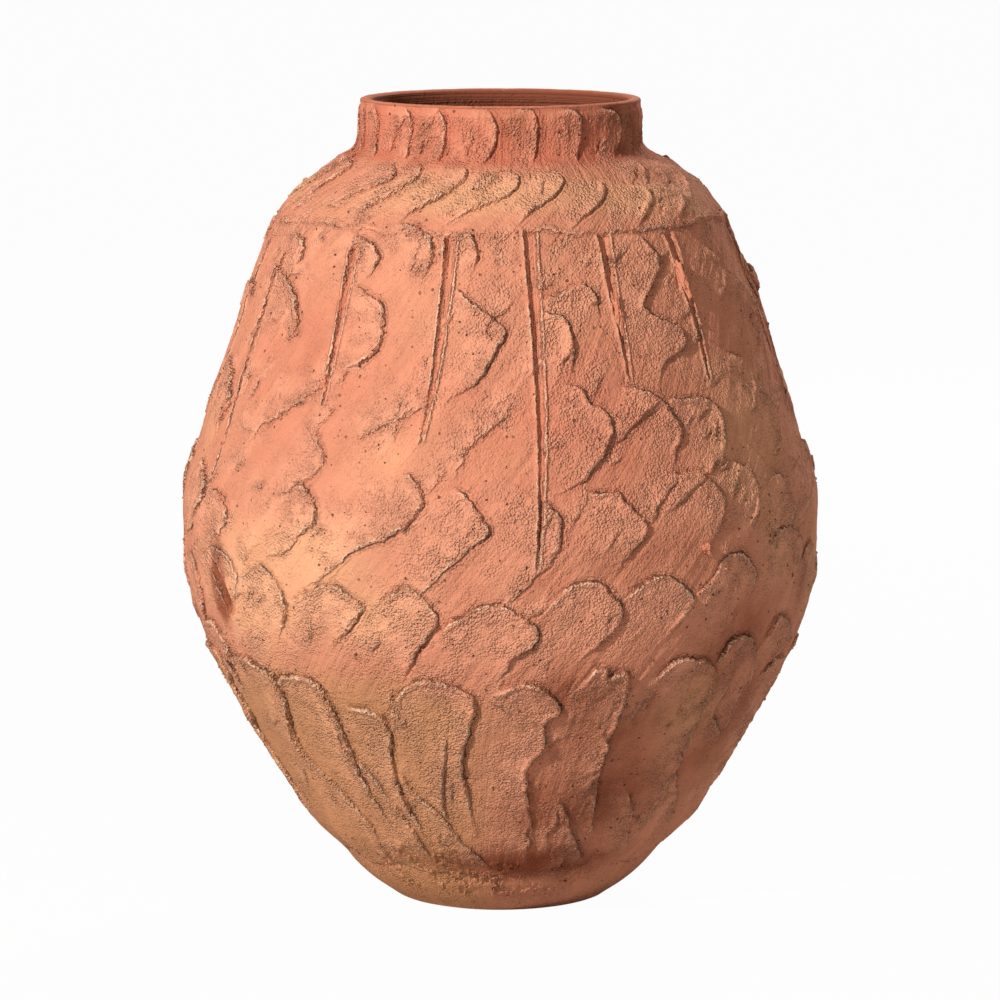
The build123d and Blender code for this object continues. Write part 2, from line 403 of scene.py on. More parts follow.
# Drags that end nowhere: long low edges that lean from lower left to upper right.
DRAG_EDGES: tuple[Trace, ...] = (
    ((338, 374), (306, 398), (272, 420), (240, 452)),
    ((438, 407), (420, 408), (384, 428), (350, 440)),
    ((330, 420), (322, 424), (318, 440), (324, 462), (306, 480), (270, 500)),
    ((414, 404), (398, 426), (394, 448)),
    ((520, 400), (500, 420), (476, 440), (462, 462), (450, 486)),
    ((516, 300), (486, 330), (500, 345)),
    ((657, 398), (640, 420), (618, 440), (600, 468)),
    ((720, 455), (706, 476), (680, 500), (660, 520)),
    ((676, 474), (660, 500), (648, 530)),
    ((553, 560), (530, 582), (500, 606)),
)
BELLY_EDGES: tuple[Trace, ...] = (
    ((241, 582), (261, 568), (279, 586), (287, 606), (284, 620), (278, 644)),
    ((288, 604), (328, 584), (349, 595), (364, 610), (344, 635), (330, 652)),
    ((373, 613), (400, 591), (418, 595), (436, 615), (431, 633), (418, 651), (411, 666), (396, 690)),
    ((431, 644), (453, 622), (482, 608), (507, 608), (535, 629), (533, 645), (510, 661),
     (503, 673), (486, 690)),
    ((540, 618), (565, 592), (588, 581), (606, 588), (622, 611), (615, 627), (590, 650), (570, 668)),
    ((622, 601), (645, 583), (666, 577), (684, 588), (690, 601), (677, 622), (660, 646)),
    ((693, 599), (712, 579), (723, 560), (739, 553), (753, 567), (753, 580), (742, 606)),
    ((767, 551), (776, 530), (788, 528), (799, 539), (798, 566)),
    ((202, 560), (212, 548), (228, 556), (238, 580), (236, 606)),
)
LOWER_EDGES: tuple[Trace, ...] = (
    ((226, 660), (241, 656), (259, 664), (282, 687), (302, 747), (322, 786)),
    ((277, 688), (286, 675), (313, 680), (331, 702), (346, 738), (372, 790), (400, 838)),
    ((344, 707), (373, 710), (390, 727), (393, 760), (410, 806), (436, 850)),
    ((392, 740), (393, 718), (400, 693), (418, 681), (449, 684), (474, 700), (471, 725),
     (462, 760), (470, 806), (482, 850)),
    ((486, 700), (512, 686), (530, 683), (549, 693), (559, 709), (544, 721), (542, 748),
     (526, 771), (530, 820), (536, 856)),
    ((572, 696), (592, 670), (606, 668), (606, 676), (622, 671), (627, 680), (618, 712),
     (600, 760), (592, 810), (586, 852)),
    ((650, 684), (677, 660), (702, 660), (712, 670), (704, 700), (682, 746), (656, 796), (640, 836)),
    ((712, 668), (730, 640), (744, 636), (753, 647), (748, 676), (728, 716), (700, 764)),
    ((762, 640), (774, 618), (784, 618), (786, 636), (774, 668)),
    ((206, 620), (216, 622), (232, 650), (250, 700)),
)
TRAIL_EDGES: tuple[Trace, ...] = (
    ((338, 722), (347, 749), (375, 775), (404, 812), (420, 837), (437, 866)),
    ((289, 706), (301, 747), (328, 775), (359, 808), (375, 829), (390, 853)),
    ((394, 767), (420, 794), (441, 812), (457, 835), (474, 853), (494, 870)),
    ((447, 734), (445, 763), (443, 779), (445, 804), (453, 825)),
    ((730, 675), (720, 695), (712, 714), (718, 737)),
    ((676, 745), (677, 760), (674, 779), (672, 806), (662, 829)),
    ((604, 735), (605, 748), (597, 768), (583, 790)),
    ((626, 791), (630, 810), (626, 829), (626, 845)),
    ((560, 800), (567, 818), (572, 835), (582, 862)),
    ((737, 240), (746, 264), (755, 290), (765, 322)),
    ((768, 352), (777, 378), (788, 404), (797, 432)),
)
GROOVES: tuple[Trace, ...] = (
    ((290, 250), (264, 320), (238, 400), (209, 492)),
    ((358, 246), (346, 300), (334, 356), (322, 412)),
    ((452, 236), (446, 300), (434, 380), (420, 449)),
    ((529, 229), (536, 330), (541, 420), (541, 500), (536, 582)),
    ((602, 234), (612, 290), (622, 336), (630, 384)),
    ((667, 233), (682, 280), (698, 332), (710, 384)),
    ((730, 238), (750, 288), (768, 340), (785, 400)),
)

# A fresh scar on the left flank, and three small holes.
SCAR: Trace = ((236, 614), (228, 592), (217, 568), (207, 550))
HOLES: Trace = ((470, 535), (667, 723), (358, 655))


@dataclass(frozen=True)
class Patch:
    """A soft-edged patch of fired colour: where it lies, its half sizes and its strength.

    Args:
        bloom: The colour.
        spot: Its middle, in pixels of the photograph.
        wide: Half its width, millimetres.
        tall: Half its height, millimetres.
        strength: How strong the colour is in the middle.
    """

    bloom: Bloom
    spot: tuple[float, float]
    wide: float
    tall: float
    strength: float = 1.0


PATCHES: tuple[Patch, ...] = (
    Patch(Bloom.BUFF, (250, 590), 95, 75, 1.0),
    Patch(Bloom.BUFF, (320, 560), 80, 50, 0.8),
    Patch(Bloom.BUFF, (395, 455), 60, 45, 0.45),
    Patch(Bloom.BUFF, (380, 620), 70, 45, 0.7),
    Patch(Bloom.BUFF, (520, 465), 60, 30, 0.4),
    Patch(Bloom.BUFF, (480, 198), 140, 34, 0.9),
    Patch(Bloom.BUFF, (640, 200), 60, 26, 0.9),
    Patch(Bloom.BUFF, (330, 210), 60, 26, 0.4),
    Patch(Bloom.BUFF, (430, 320), 60, 60, 0.35),
    Patch(Bloom.BUFF, (750, 440), 90, 110, 0.7),
    Patch(Bloom.BUFF, (780, 560), 80, 60, 0.3),
    Patch(Bloom.BUFF, (300, 730), 90, 60, 0.65),
    Patch(Bloom.BUFF, (390, 850), 80, 40, 0.35),
    Patch(Bloom.BUFF, (690, 205), 45, 30, 0.5),
    Patch(Bloom.TAN, (330, 720), 120, 80, 0.55),
    Patch(Bloom.TAN, (430, 740), 90, 80, 0.6),
    Patch(Bloom.TAN, (690, 710), 70, 70, 0.75),
    Patch(Bloom.TAN, (400, 810), 90, 50, 0.5),
    # This patch darkens the neck's right: painted shade, in the red of the fired clay.
    Patch(Bloom.RED, (625, 125), 50, 50, 0.9),
    Patch(Bloom.RED, (520, 125), 40, 40, 0.55),
    Patch(Bloom.RED, (640, 545), 90, 40, 0.35),
    Patch(Bloom.RED, (500, 590), 60, 26, 0.3),
    Patch(Bloom.RED, (221, 582), 17, 44, 1.5),
    Patch(Bloom.RED, (580, 805), 90, 50, 0.75),
    Patch(Bloom.RED, (600, 735), 80, 100, 0.55),
    Patch(Bloom.RED, (725, 720), 110, 120, 0.5),
    Patch(Bloom.RED, (740, 640), 60, 60, 0.5),
    Patch(Bloom.RED, (530, 862), 120, 36, 0.82),
    Patch(Bloom.RED, (560, 690), 50, 40, 0.35),
    Patch(Bloom.BLUSH, (580, 450), 170, 130, 0.55),
    Patch(Bloom.BLUSH, (300, 380), 120, 110, 0.5),
    Patch(Bloom.BLUSH, (430, 890), 120, 22, 0.5),
)
# The patches are laid out again round the back: how far round, radians, and how strong.
PATCH_ROUNDS: tuple[tuple[float, float], ...] = ((0.0, 1.0), (2.25, 0.8), (4.1, 0.9))


@dataclass
class Wall:
    """The jar's wall as one net of spots, with its relief and the marks that its colours follow.

    Args:
        profile: The wall's outer line.
        view: Where the photograph was taken from.
        joints: The heights at which the rings meet, metres, from the floor up.
        bands: How many rows of cells each ring has.
        columns: How many cells go round.
        far_first: Where the side that the photograph doesn't show starts, degrees from the front.
        far_last: Where it ends.
        seed: The seed of everything random on the wall.
        limit: The greatest radius that a mark reaches, metres.
        top: The height of the rim, metres.
        drag_radius: The radius of the round on which the drag marks' space is laid out.
        drag_stretch: How much of the height is left there, which makes the streaks long.
    """

    profile: WallProfile
    view: Viewpoint
    joints: tuple[float, ...]
    bands: tuple[int, ...]
    columns: int = 1080
    far_first: float = 66.0
    far_last: float = 294.0
    seed: int = 5
    limit: float = 0.3584
    top: float = 0.9
    drag_radius: float = 0.3
    drag_stretch: float = 0.07

    def __post_init__(self) -> None:
        """Lays out the net and clears every field."""
        arcs, starts = [], [0]
        for low, high, rows in zip(self.joints, self.joints[1:], self.bands):
            ends = self.profile.arc(np.array([low, high]))
            arcs.append(np.linspace(ends[0], ends[1], rows + 1)[: -1])
            starts.append(starts[-1] + rows)
        arcs.append([float(self.profile.arc(np.array([self.joints[-1]]))[0])])
        self.arcs = np.concatenate(arcs)
        self.starts = starts
        self.step = FULL_TURN / self.columns
        self.angles = np.arange(self.columns) * self.step + math.pi / 2
        self.height = self.profile.height(self.arcs)
        self.radius = self.profile.radius(self.height)
        shape = (len(self.arcs), self.columns)
        self.angle_net = np.broadcast_to(self.angles, shape)
        self.arc_net = np.broadcast_to(self.arcs[:, None], shape)
        self.level = np.broadcast_to(self.height[:, None], shape) / MM
        self.relief = np.zeros(shape)
        self.edge = np.full(shape, NO_EDGE)
        self.edge_strength = np.zeros(shape)
        self.pad = np.zeros(shape)
        self.crumb = np.zeros(shape)
        self.blooms = {bloom: np.zeros(shape) for bloom in Bloom}
        noise = ClayNoise(self.seed)
        self.noise = noise
        self.jag = 1.0 * noise.field(self.angle_net, self.arc_net, 13.0)
        self.jag += 0.75 * noise.field(self.angle_net, self.arc_net, 6.0)
        self.jag += 0.45 * noise.field(self.angle_net, self.arc_net, 3.2)

    def smooth_line(self, line: np.ndarray, step: float = 3.0) -> np.ndarray:
        """A smooth curve through the points of a traced line.

        Args:
            line: The points as (angle, way up).
            step: The distance between the curve's own points, millimetres.

        Returns:
            The curve's points, evenly enough spaced to measure from.
        """
        ends = np.concatenate([[2 * line[0] - line[1]], line, [2 * line[-1] - line[-2]]])
        pieces = []
        scale = float(np.interp(line[:, 1].mean(), self.arcs, self.radius))
        for index in range(1, len(ends) - 2):
            a, b, c, d = ends[index - 1: index + 3]
            length = np.hypot((c[0] - b[0]) * scale, c[1] - b[1])
            count = max(2, int(length / (step * MM)))
            t = np.linspace(0, 1, count, endpoint=False)[:, None]
            pieces.append(0.5 * (2 * b + (c - a) * t + (2 * a - 5 * b + 4 * c - d) * t**2
                                 + (3 * b - a - 3 * c + d) * t**3))
        pieces.append(line[-1:])
        return np.concatenate(pieces)

    def window(self, line: np.ndarray, margin: float) -> tuple[
            np.ndarray, np.ndarray, np.ndarray, np.ndarray]:
        """The part of the net near a line.

        Args:
            line: The line's points as (angle, way up).
            margin: How far from the line the part reaches, millimetres.

        Returns:
            The rows and the columns of the part as index arrays, and each spot's place across and
            up the wall, metres, with the line's first angle as zero.
        """
        low, high = line[:, 1].min() - margin * MM, line[:, 1].max() + margin * MM
        rows = np.nonzero((self.arcs >= low) & (self.arcs <= high))[0]
        narrow = self.radius[rows].min()
        spread = margin * MM / narrow
        first = math.floor((line[:, 0].min() - spread - math.pi / 2) / self.step)
        last = math.ceil((line[:, 0].max() + spread - math.pi / 2) / self.step)
        run = np.arange(first, min(last, first + self.columns - 1) + 1)
        across = (run * self.step + math.pi / 2 - line[0, 0])[None, :] * self.radius[rows][:, None]
        upward = np.broadcast_to(self.arcs[rows][:, None], across.shape)
        return rows, run % self.columns, across, upward

    def measure(self, line: np.ndarray, across: np.ndarray, upward: np.ndarray) -> tuple[
            np.ndarray, np.ndarray, np.ndarray]:
        """How spots lie to a line: their distance, with the right hand positive, and where along it.

        Args:
            line: The line's points as (angle, way up).
            across: Each spot's place across the wall.
            upward: Each spot's place up the wall.

        Returns:
            The distance in millimetres, the share of the line at the nearest point, and a softened
            share that changes without a jump behind the line's bends.
        """
        radii = np.interp(line[:, 1], self.arcs, self.radius)
        x, y = (line[:, 0] - line[0, 0]) * radii, line[:, 1]
        ax, ay, bx, by = x[:-1], y[:-1], x[1:], y[1:]
        dx, dy = bx - ax, by - ay
        long = np.maximum(dx**2 + dy**2, 1e-12)
        px, py = across.ravel()[:, None] - ax, upward.ravel()[:, None] - ay
        t = np.clip((px * dx + py * dy) / long, 0, 1)
        away = np.hypot(px - t * dx, py - t * dy)
        nearest = away.argmin(axis=1)
        pick = np.arange(len(nearest))
        turn = dx * py - dy * px
        side = np.where(turn[pick, nearest] <= 0, 1.0, -1.0)
        distance = away[pick, nearest]
        share = (nearest + t[pick, nearest]) / len(ax)
        weight = np.exp(-(away - distance[:, None]) / (7 * MM))
        soft = (weight * ((np.arange(len(ax)) + t) / len(ax))).sum(axis=1) / weight.sum(axis=1)
        shape = across.shape
        return (side * distance / MM).reshape(shape), share.reshape(shape), soft.reshape(shape)

    def note_edge(self, spots: tuple[np.ndarray, np.ndarray], distance: np.ndarray,
                  strength: np.ndarray) -> None:
        """Keeps the nearest strong edge's distance for the fine shading of its crack."""
        current = self.edge[spots]
        closer = (np.abs(distance) < np.abs(current)) & (strength > 0.08)
        self.edge[spots] = np.where(closer, distance, current)
        self.edge_strength[spots] = np.where(closer, strength, self.edge_strength[spots])

    def lay_dab(self, line: np.ndarray, touch: Touch) -> None:
        """Raises the clay behind one torn edge.

        Args:
            line: The edge as (angle, way up), walked with the clay on the right hand.
            touch: How the edge stands on the wall.
        """
        curve = self.smooth_line(line)
        rows, columns, across, upward = self.window(curve, 2.4 * touch.fade + 8)
        spots = np.ix_(rows, columns)
        distance, share, soft = self.measure(curve, across, upward)
        distance = distance + self.jag[spots] * touch.jag
        weight = ease(0, touch.start, soft) * ease(0, touch.end, 1 - soft)
        sharp = ease(0, touch.start, share) * ease(0, touch.end, 1 - share)
        body = ease(-touch.drop, 0.0, distance) * np.exp(-((np.maximum(distance, 0) / touch.fade) ** 1.3))
        ridge = bell(distance, 2.6, 1.9) * touch.bead * (0.75 + 0.5 * self.jag[spots])
        crack = bell(distance, -touch.drop - 0.8, 1.5) * 0.9
        self.relief[spots] += weight * (touch.height * body) + sharp * (ridge - crack)
        self.pad[spots] = np.maximum(self.pad[spots], weight * ease(-1.5, 1.5, distance)
                                     * np.exp(-((np.maximum(distance, 0) / (1.3 * touch.fade)) ** 2)))
        self.crumb[spots] = np.maximum(self.crumb[spots], sharp * bell(distance, -1.0, 4.5))
        near = sharp * min(1.0, touch.height / 4) * (1 - ease(3.5, 7.0, np.abs(distance)))
        self.note_edge(spots, distance + touch.drop * 0.6, near)

    def draw_groove(self, line: np.ndarray, width: float, depth: float) -> None:
        """Draws a fingertip down the wall, which leaves a groove that tapers to a point.

        Args:
            line: The groove's middle from its top, as (angle, way up).
            width: Its width at the top, millimetres.
            depth: Its depth.
        """
        curve = self.smooth_line(line, 5.0)
        rows, columns, across, upward = self.window(curve, 22)
        spots = np.ix_(rows, columns)
        distance, share, _ = self.measure(curve, across, upward)
        distance = distance + 0.35 * self.jag[spots]
        half = width / 2 * (0.1 + 0.9 * (1 - share) ** 0.8)
        alive = ease(0, 0.02, share) * ease(0, 0.05, 1 - share)
        inside = 1 - ease(0.55, 1.0, np.abs(distance) / half)
        keep = 1 - 0.75 * inside * alive
        lips = bell(np.abs(distance) - half, 1.6, 1.7) * 1.5 * (1 - 0.5 * share)
        floor = depth * (0.35 + 0.65 * (1 - share)) * inside
        self.relief[spots] = self.relief[spots] * keep + alive * (lips - floor)
        near = alive * (1 - ease(2.5, 4.5, np.abs(np.abs(distance) - half)))
        self.note_edge(spots, np.abs(distance) - half, 0.8 * near)
        self.pad[spots] *= 1 - 0.8 * inside * alive

    def far_marks(self, traces: tuple[Trace, ...], count: int) -> list[np.ndarray]:
        """The marks of one course all round the jar.

        Args:
            traces: The marks that the photograph shows, from left to right.
            count: How many marks go round the whole jar.

        Returns:
            Each mark as (angle, way up): the traced ones where they are, and the far ones as the
            same hand's shapes, spread over the rest of the round and varied a little.
        """
        lines = [self.view.on_wall(trace, self.profile) for trace in traces]
        whole = [line for line in lines if abs(line[:, 0].mean() - FRONT) < math.radians(52)]
        chance = np.random.default_rng(self.seed * 97 + count + len(traces))
        span = math.radians(self.far_last - self.far_first)
        rounds = max(1, round(span / (FULL_TURN / count)))
        far = []
        for place in range(rounds):
            shape = whole[(place * 3 + int(chance.integers(0, 2))) % len(whole)]
            middle = shape[:, 0].mean()
            target = FRONT + math.radians(self.far_first) + span * (place + 0.5) / rounds
            turn = target - middle + chance.normal(0, 0.12) * FULL_TURN / count
            rise = chance.normal(0, 7) * MM
            grow = chance.uniform(0.88, 1.12)
            line = np.stack([(shape[:, 0] - middle) * grow + middle + turn,
                             (shape[:, 1] - shape[:, 1].mean()) * grow + shape[:, 1].mean() + rise], axis=1)
            line += chance.normal(0, 1.6, line.shape) * MM * np.array([1 / 0.3, 1.0])
            far.append(line)
        return lines + far

    def lay_course(self, traces: tuple[Trace, ...], count: int, touch: Touch) -> None:
        """Lays one course of dabs all round the jar."""
        for line in self.far_marks(traces, count):
            self.lay_dab(line, touch)

    def press_hole(self, spot: tuple[float, float], radius: float, depth: float) -> None:
        """Presses one small round hole.

        Args:
            spot: Its place in the photograph.
            radius: Its radius, millimetres.
            depth: Its depth.
        """
        middle = self.view.on_wall((spot,), self.profile)
        rows, columns, across, upward = self.window(middle, 4 * radius)
        away = np.hypot(across, upward - middle[0, 1]) / MM
        spots = np.ix_(rows, columns)
        brim = 0.35 * depth * bell(away, 1.5 * radius, 0.6 * radius)
        self.relief[spots] += brim - depth * (1 - ease(0.5, 1.2, away / radius))
        self.note_edge(spots, away - radius, 0.9 * (1 - ease(2.0, 3.5, away)))

    def scatter_scrapes(self, count: int, low: float, high: float, tilt: float) -> None:
        """Strews short torn edges over a zone, each along the way that the hand was dragged.

        Args:
            count: How many there are.
            low: The zone's lower level, millimetres.
            high: Its upper level.
            tilt: How far the drag leans from upright towards the right, degrees.
        """
        chance = np.random.default_rng(self.seed * 31 + count)
        arcs = self.profile.arc(np.array([low, high]) * MM)
        for _ in range(count):
            angle, arc = chance.uniform(0, FULL_TURN), chance.uniform(arcs[0], arcs[1])
            radius = float(np.interp(arc, self.arcs, self.radius))
            way = math.radians(90 - tilt + chance.normal(0, 16))
            length = chance.uniform(14, 46) * MM
            bend = chance.normal(0, 0.16)
            steps = np.linspace(-0.5, 0.5, 5)
            heading = way + bend * steps * 3
            x, y = np.cos(heading) * steps * length, np.sin(heading) * steps * length
            line = np.stack([angle + x / radius, arc + y], axis=1)
            line += chance.normal(0, 1.1, line.shape) * MM * np.array([1 / radius, 1.0])
            if chance.uniform() < 0.75:
                line = line[::-1]
            self.lay_dab(line, Touch(height=chance.uniform(0.7, 1.6), fade=chance.uniform(6, 18), bead=0.3,
                                     drop=1.5, jag=1.6, start=0.3, end=0.35))

    def lay_ledge(self, height: float, thickness: float, fade: float, wander: float) -> None:
        """Raises the clay above a level, with a ragged lower edge all round the jar.

        Args:
            height: The level, millimetres.
            thickness: How thick the clay is at its lower edge.
            fade: How far above the edge it has sunk to a third.
            wander: How far the edge wanders up and down.
        """
        sway = self.noise.field(self.angle_net, self.arc_net * 0, 60.0)
        sway = sway + 0.5 * self.noise.field(self.angle_net, self.arc_net * 0, 22.0)
        level = float(self.profile.arc(np.array([height * MM]))[0])
        distance = (self.arc_net - level) / MM + sway * wander + 1.3 * self.jag
        near = np.abs(distance) < 5 * fade
        body = ease(-2.4, 0, distance) * np.exp(-np.maximum(distance, 0) / fade)
        self.relief += np.where(near, thickness * body - 0.7 * bell(distance, -2.8, 1.5), 0)
        self.crumb = np.maximum(self.crumb, 0.8 * bell(distance, -0.5, 5.0))
        gaps = ease(-0.35, 0.25, self.noise.field(self.angle_net, self.arc_net * 0, 34.0))
        strong = min(1.0, thickness / 4) * (1 - ease(3.0, 6.0, np.abs(distance))) * gaps
        self.note_edge(np.ix_(range(len(self.arcs)), range(self.columns)), distance + 1.4, strong)

    def drag_lean(self) -> np.ndarray:
        """How far round the hand's drag has turned at each height, an angle that grows upward."""
        lean_points = (0, 0.10, 0.35, 0.42, 0.62, 0.80, 0.92, 1.02)
        lean_turns = (0, 0.0, 0.10, 0.24, 0.72, 1.05, 1.50, 1.52)
        return np.interp(self.arc_net, lean_points, lean_turns)

    def drag_place(self) -> np.ndarray:
        """Each spot of the net in a space that is long along the drag, for the streaks' noise."""
        turned = self.angle_net - self.drag_lean()
        x, y = self.drag_radius * np.cos(turned), self.drag_radius * np.sin(turned)
        return np.stack([x, y, self.arc_net * self.drag_stretch], axis=2)

    def roughen(self) -> None:
        """Adds the wall's unevenness, the drag marks and the coarse grit."""
        noise, angle, arc = self.noise, self.angle_net, self.arc_net
        coat = ease(55, 75, self.level) * (1 - ease(890, 896, self.level))
        lean = self.drag_lean()
        self.relief += 1.3 * noise.field(angle, arc, 90.0) + 0.7 * noise.field(angle, arc, 38.0)
        streak = noise.field(angle, arc, 7.0, 9.0, lean) + 0.6 * noise.field(angle, arc, 3.8, 12.0, lean)
        self.relief += coat * (0.42 * streak * (1 - 0.3 * self.pad))
        where = ease(0.15, 0.7, noise.field(angle, arc, 46.0) + 0.5 * noise.field(angle, arc, 17.0))
        for wide, tall, deep in ((7.0, 7.0, 0.42), (5.0, 9.0, 0.34)):
            torn = noise.field(angle, arc, wide, tall, lean) + 0.35 * noise.field(angle, arc, 3.6)
            flake = ease(-0.02, 0.22, torn) * np.exp(-np.maximum(torn, 0) / 0.35) - 0.3
            self.relief += coat * where * deep * flake
        lumps = noise.field(angle, arc, 7.5) * 0.5 + noise.field(angle, arc, 4.4) * 0.55
        self.relief += coat * lumps * (0.12 + 0.6 * self.pad)
        self.relief *= 0.25 + 0.75 * ease(30, 62, self.level)
        self.relief += 1.2 * coat
        facing = turned_from(angle, FRONT)
        spill = ease(0.85, 0.5, np.abs(facing + 0.08)) * ease(14, 34, self.level) * ease(112, 74, self.level)
        spill *= ease(-0.3, 0.3, noise.field(angle, arc, 24.0))
        torn = noise.field(angle, arc, 8.0) + 0.7 * noise.field(angle, arc, 4.2)
        self.relief += 1.8 * spill * (ease(-0.06, 0.1, torn) - 0.4)
        self.crumb = np.maximum(self.crumb, 0.7 * spill)

    def bloom_patches(self) -> None:
        """Spreads the fired colours, with the painted shade on the neck's right: the patches of the
        photograph, and the same round the back.
        """
        facing = turned_from(self.angle_net, FRONT)
        for turn, fade in PATCH_ROUNDS:
            for patch in PATCHES:
                middle = self.view.on_wall((patch.spot,), self.profile)[0]
                apart = turned_from(self.angle_net, middle[0] + turn)
                across = apart * self.radius[:, None] / (patch.wide * MM)
                upward = (self.arc_net - middle[1]) / (patch.tall * MM)
                if turn:
                    shown = ease(math.radians(58), math.radians(85), np.abs(facing))
                else:
                    shown = 1.0
                value = patch.strength * fade * np.exp(-(across**2 + upward**2)) * shown
                bloom = self.blooms[patch.bloom]
                self.blooms[patch.bloom] = bloom + value - bloom * np.clip(value, 0, 1)
        low = 1 - ease(250, 350, self.level)
        foot = 1 - ease(40, 130, self.level)
        leftward = 0.35 + 0.65 * ease(0.12, -0.35, facing) * ease(-3.1, -2.3, facing)
        self.blooms[Bloom.TAN] = np.maximum(self.blooms[Bloom.TAN], 0.85 * low * leftward)
        self.blooms[Bloom.RED] = np.maximum(self.blooms[Bloom.RED], 0.1 * foot)
        neck = ease(828, 842, self.level)
        self.blooms[Bloom.BLUSH] = np.maximum(self.blooms[Bloom.BLUSH], 0.9 * neck)
        self.blooms[Bloom.RED] = np.maximum(self.blooms[Bloom.RED], 0.24 * neck)

    def build(self) -> None:
        """Works out every field, from the foot up to the neck."""
        self.lay_ledge(60, 1.2, 50, 10.0)
        self.lay_course(LOWER_EDGES, 25, Touch(height=4.2, fade=30, bead=1.2, start=0.08, end=0.35, jag=1.3))
        self.lay_course(TRAIL_EDGES, 22, Touch(height=2.2, fade=18, bead=0.7, drop=1.5,
                                               start=0.1, end=0.2, jag=1.1))
        self.lay_course(BELLY_EDGES, 24, Touch(height=3.9, fade=34, bead=0.9, start=0.14, end=0.3, jag=1.6))
        self.lay_course(MIDDLE_EDGES, 23, Touch(height=4.0, fade=38, start=0.12, end=0.35, jag=1.9))
        self.lay_course(DRAG_EDGES, 24, Touch(height=1.6, fade=22, bead=0.3, drop=1.7,
                                              jag=2.4, start=0.2, end=0.3))
        self.lay_course(UPPER_EDGES, 34, Touch(height=3.8, fade=28, start=0.15, end=0.3, jag=1.4))
        self.lay_course(SHOULDER_EDGES, 21, Touch(height=2.7, fade=20, bead=0.7, drop=1.5,
                                                  start=0.16, end=0.3, jag=0.8))
        self.lay_ledge(771, 1.9, 26, 3.4)
        self.lay_course(NECK_EDGES, 18, Touch(height=2.5, fade=18, bead=0.5, drop=1.5,
                                              start=0.14, end=0.2, jag=0.6))
        for count, low, high, tilt in ((90, 70, 320, 4), (70, 320, 450, 38), (90, 450, 610, 42),
                                       (90, 610, 775, 34), (40, 775, 828, 50), (36, 850, 888, 16)):
            self.scatter_scrapes(count, low, high, tilt)
        for line in self.far_marks(GROOVES, 17):
            longest = np.ptp(line[:, 1]) > 0.28
            self.draw_groove(line, 13.0, 4.4 if longest else 4.0)
        self.draw_groove(self.view.on_wall(SCAR, self.profile), 24.0, 4.4)
        for spot in HOLES:
            self.press_hole(spot, 2.6, 3.5)
        self.roughen()
        self.bloom_patches()
        lip = 1 - ease(889, 896.5, self.level)
        self.relief = self.relief * lip + 1.2 * (1 - lip)
        LOG.info("relief from %.1f to %.1f mm", self.relief.min(), self.relief.max())

    def marks(self) -> dict[str, np.ndarray]:
        """The marks that the colours and the fine relief follow, by the names of their attributes."""
        marks = {"edge": self.edge, "edge_strength": self.edge_strength, "pad": self.pad, "crumb": self.crumb}
        return marks | {bloom.value: values for bloom, values in self.blooms.items()}

    def surface(self) -> tuple[np.ndarray, np.ndarray]:
        """The wall's outer face.

        Returns:
            The place and the outward normal of every spot, as (row, column, 3) arrays.
        """
        rise = np.gradient(self.height, self.arcs)
        run = np.gradient(self.radius, self.arcs)
        out_r, out_z = rise / np.hypot(rise, run), -run / np.hypot(rise, run)
        lift = self.relief * MM
        radius = np.minimum(self.radius[:, None] + lift * out_r[:, None], self.limit)
        level = np.clip(self.height[:, None] + lift * out_z[:, None], 0.0, self.top)
        level[0] = 0.0
        place = np.stack([radius * np.cos(self.angles), radius * np.sin(self.angles), level], axis=2)
        along = np.roll(place, -1, axis=1) - np.roll(place, 1, axis=1)
        upward = np.gradient(place, axis=0)
        normal = np.cross(along, upward)
        normal /= np.maximum(np.linalg.norm(normal, axis=2, keepdims=True), 1e-12)
        return place, normal


# What the marks say where a piece has none of the wall's skin. A mark that isn't named is 0.
# The red on the inside darkens it as painted shade, together with the throat colour of the finish.
INSIDE_MARKS = {"edge": NO_EDGE, "pad": 0.15, Bloom.RED.value: 0.6}
LIP_MARKS = {"edge": NO_EDGE} | {bloom.value: 0.1 for bloom in Bloom}
SLAB_MARKS = {"edge": NO_EDGE, "pad": 0.1} | {bloom.value: 0.3 for bloom in Bloom}


def wear_normals(mesh: bpy.types.Mesh, normal: np.ndarray, first_vertex: int, skin: slice) -> None:
    """Shades a mesh's skin with the whole wall's normals, so that no joint shows as a line.

    Args:
        mesh: The mesh, whose faces up to the end of its skin all have four corners.
        normal: The net's normals at the skin's rows.
        first_vertex: The first vertex of the skin.
        skin: The faces of the skin.
    """
    corners = np.zeros(len(mesh.loops), np.int32)
    mesh.loops.foreach_get("vertex_index", corners)
    part = slice(skin.start * 4, skin.stop * 4)
    custom = np.zeros((len(mesh.loops), 3))
    custom[part] = normal.reshape(-1, 3)[corners[part] - first_vertex]
    mesh.normals_split_custom_set(custom.tolist())
    mesh.update()


@dataclass
class ShellPlan:
    """One ring of the wall: its name, the node it stands for, its band and its finish.

    Args:
        name: The piece's name.
        node: The CAD node that it replaces.
        band: The number of its band of the net, from the foot up.
        slot: The material slot.
    """

    name: str
    node: str
    band: int
    slot: Slot


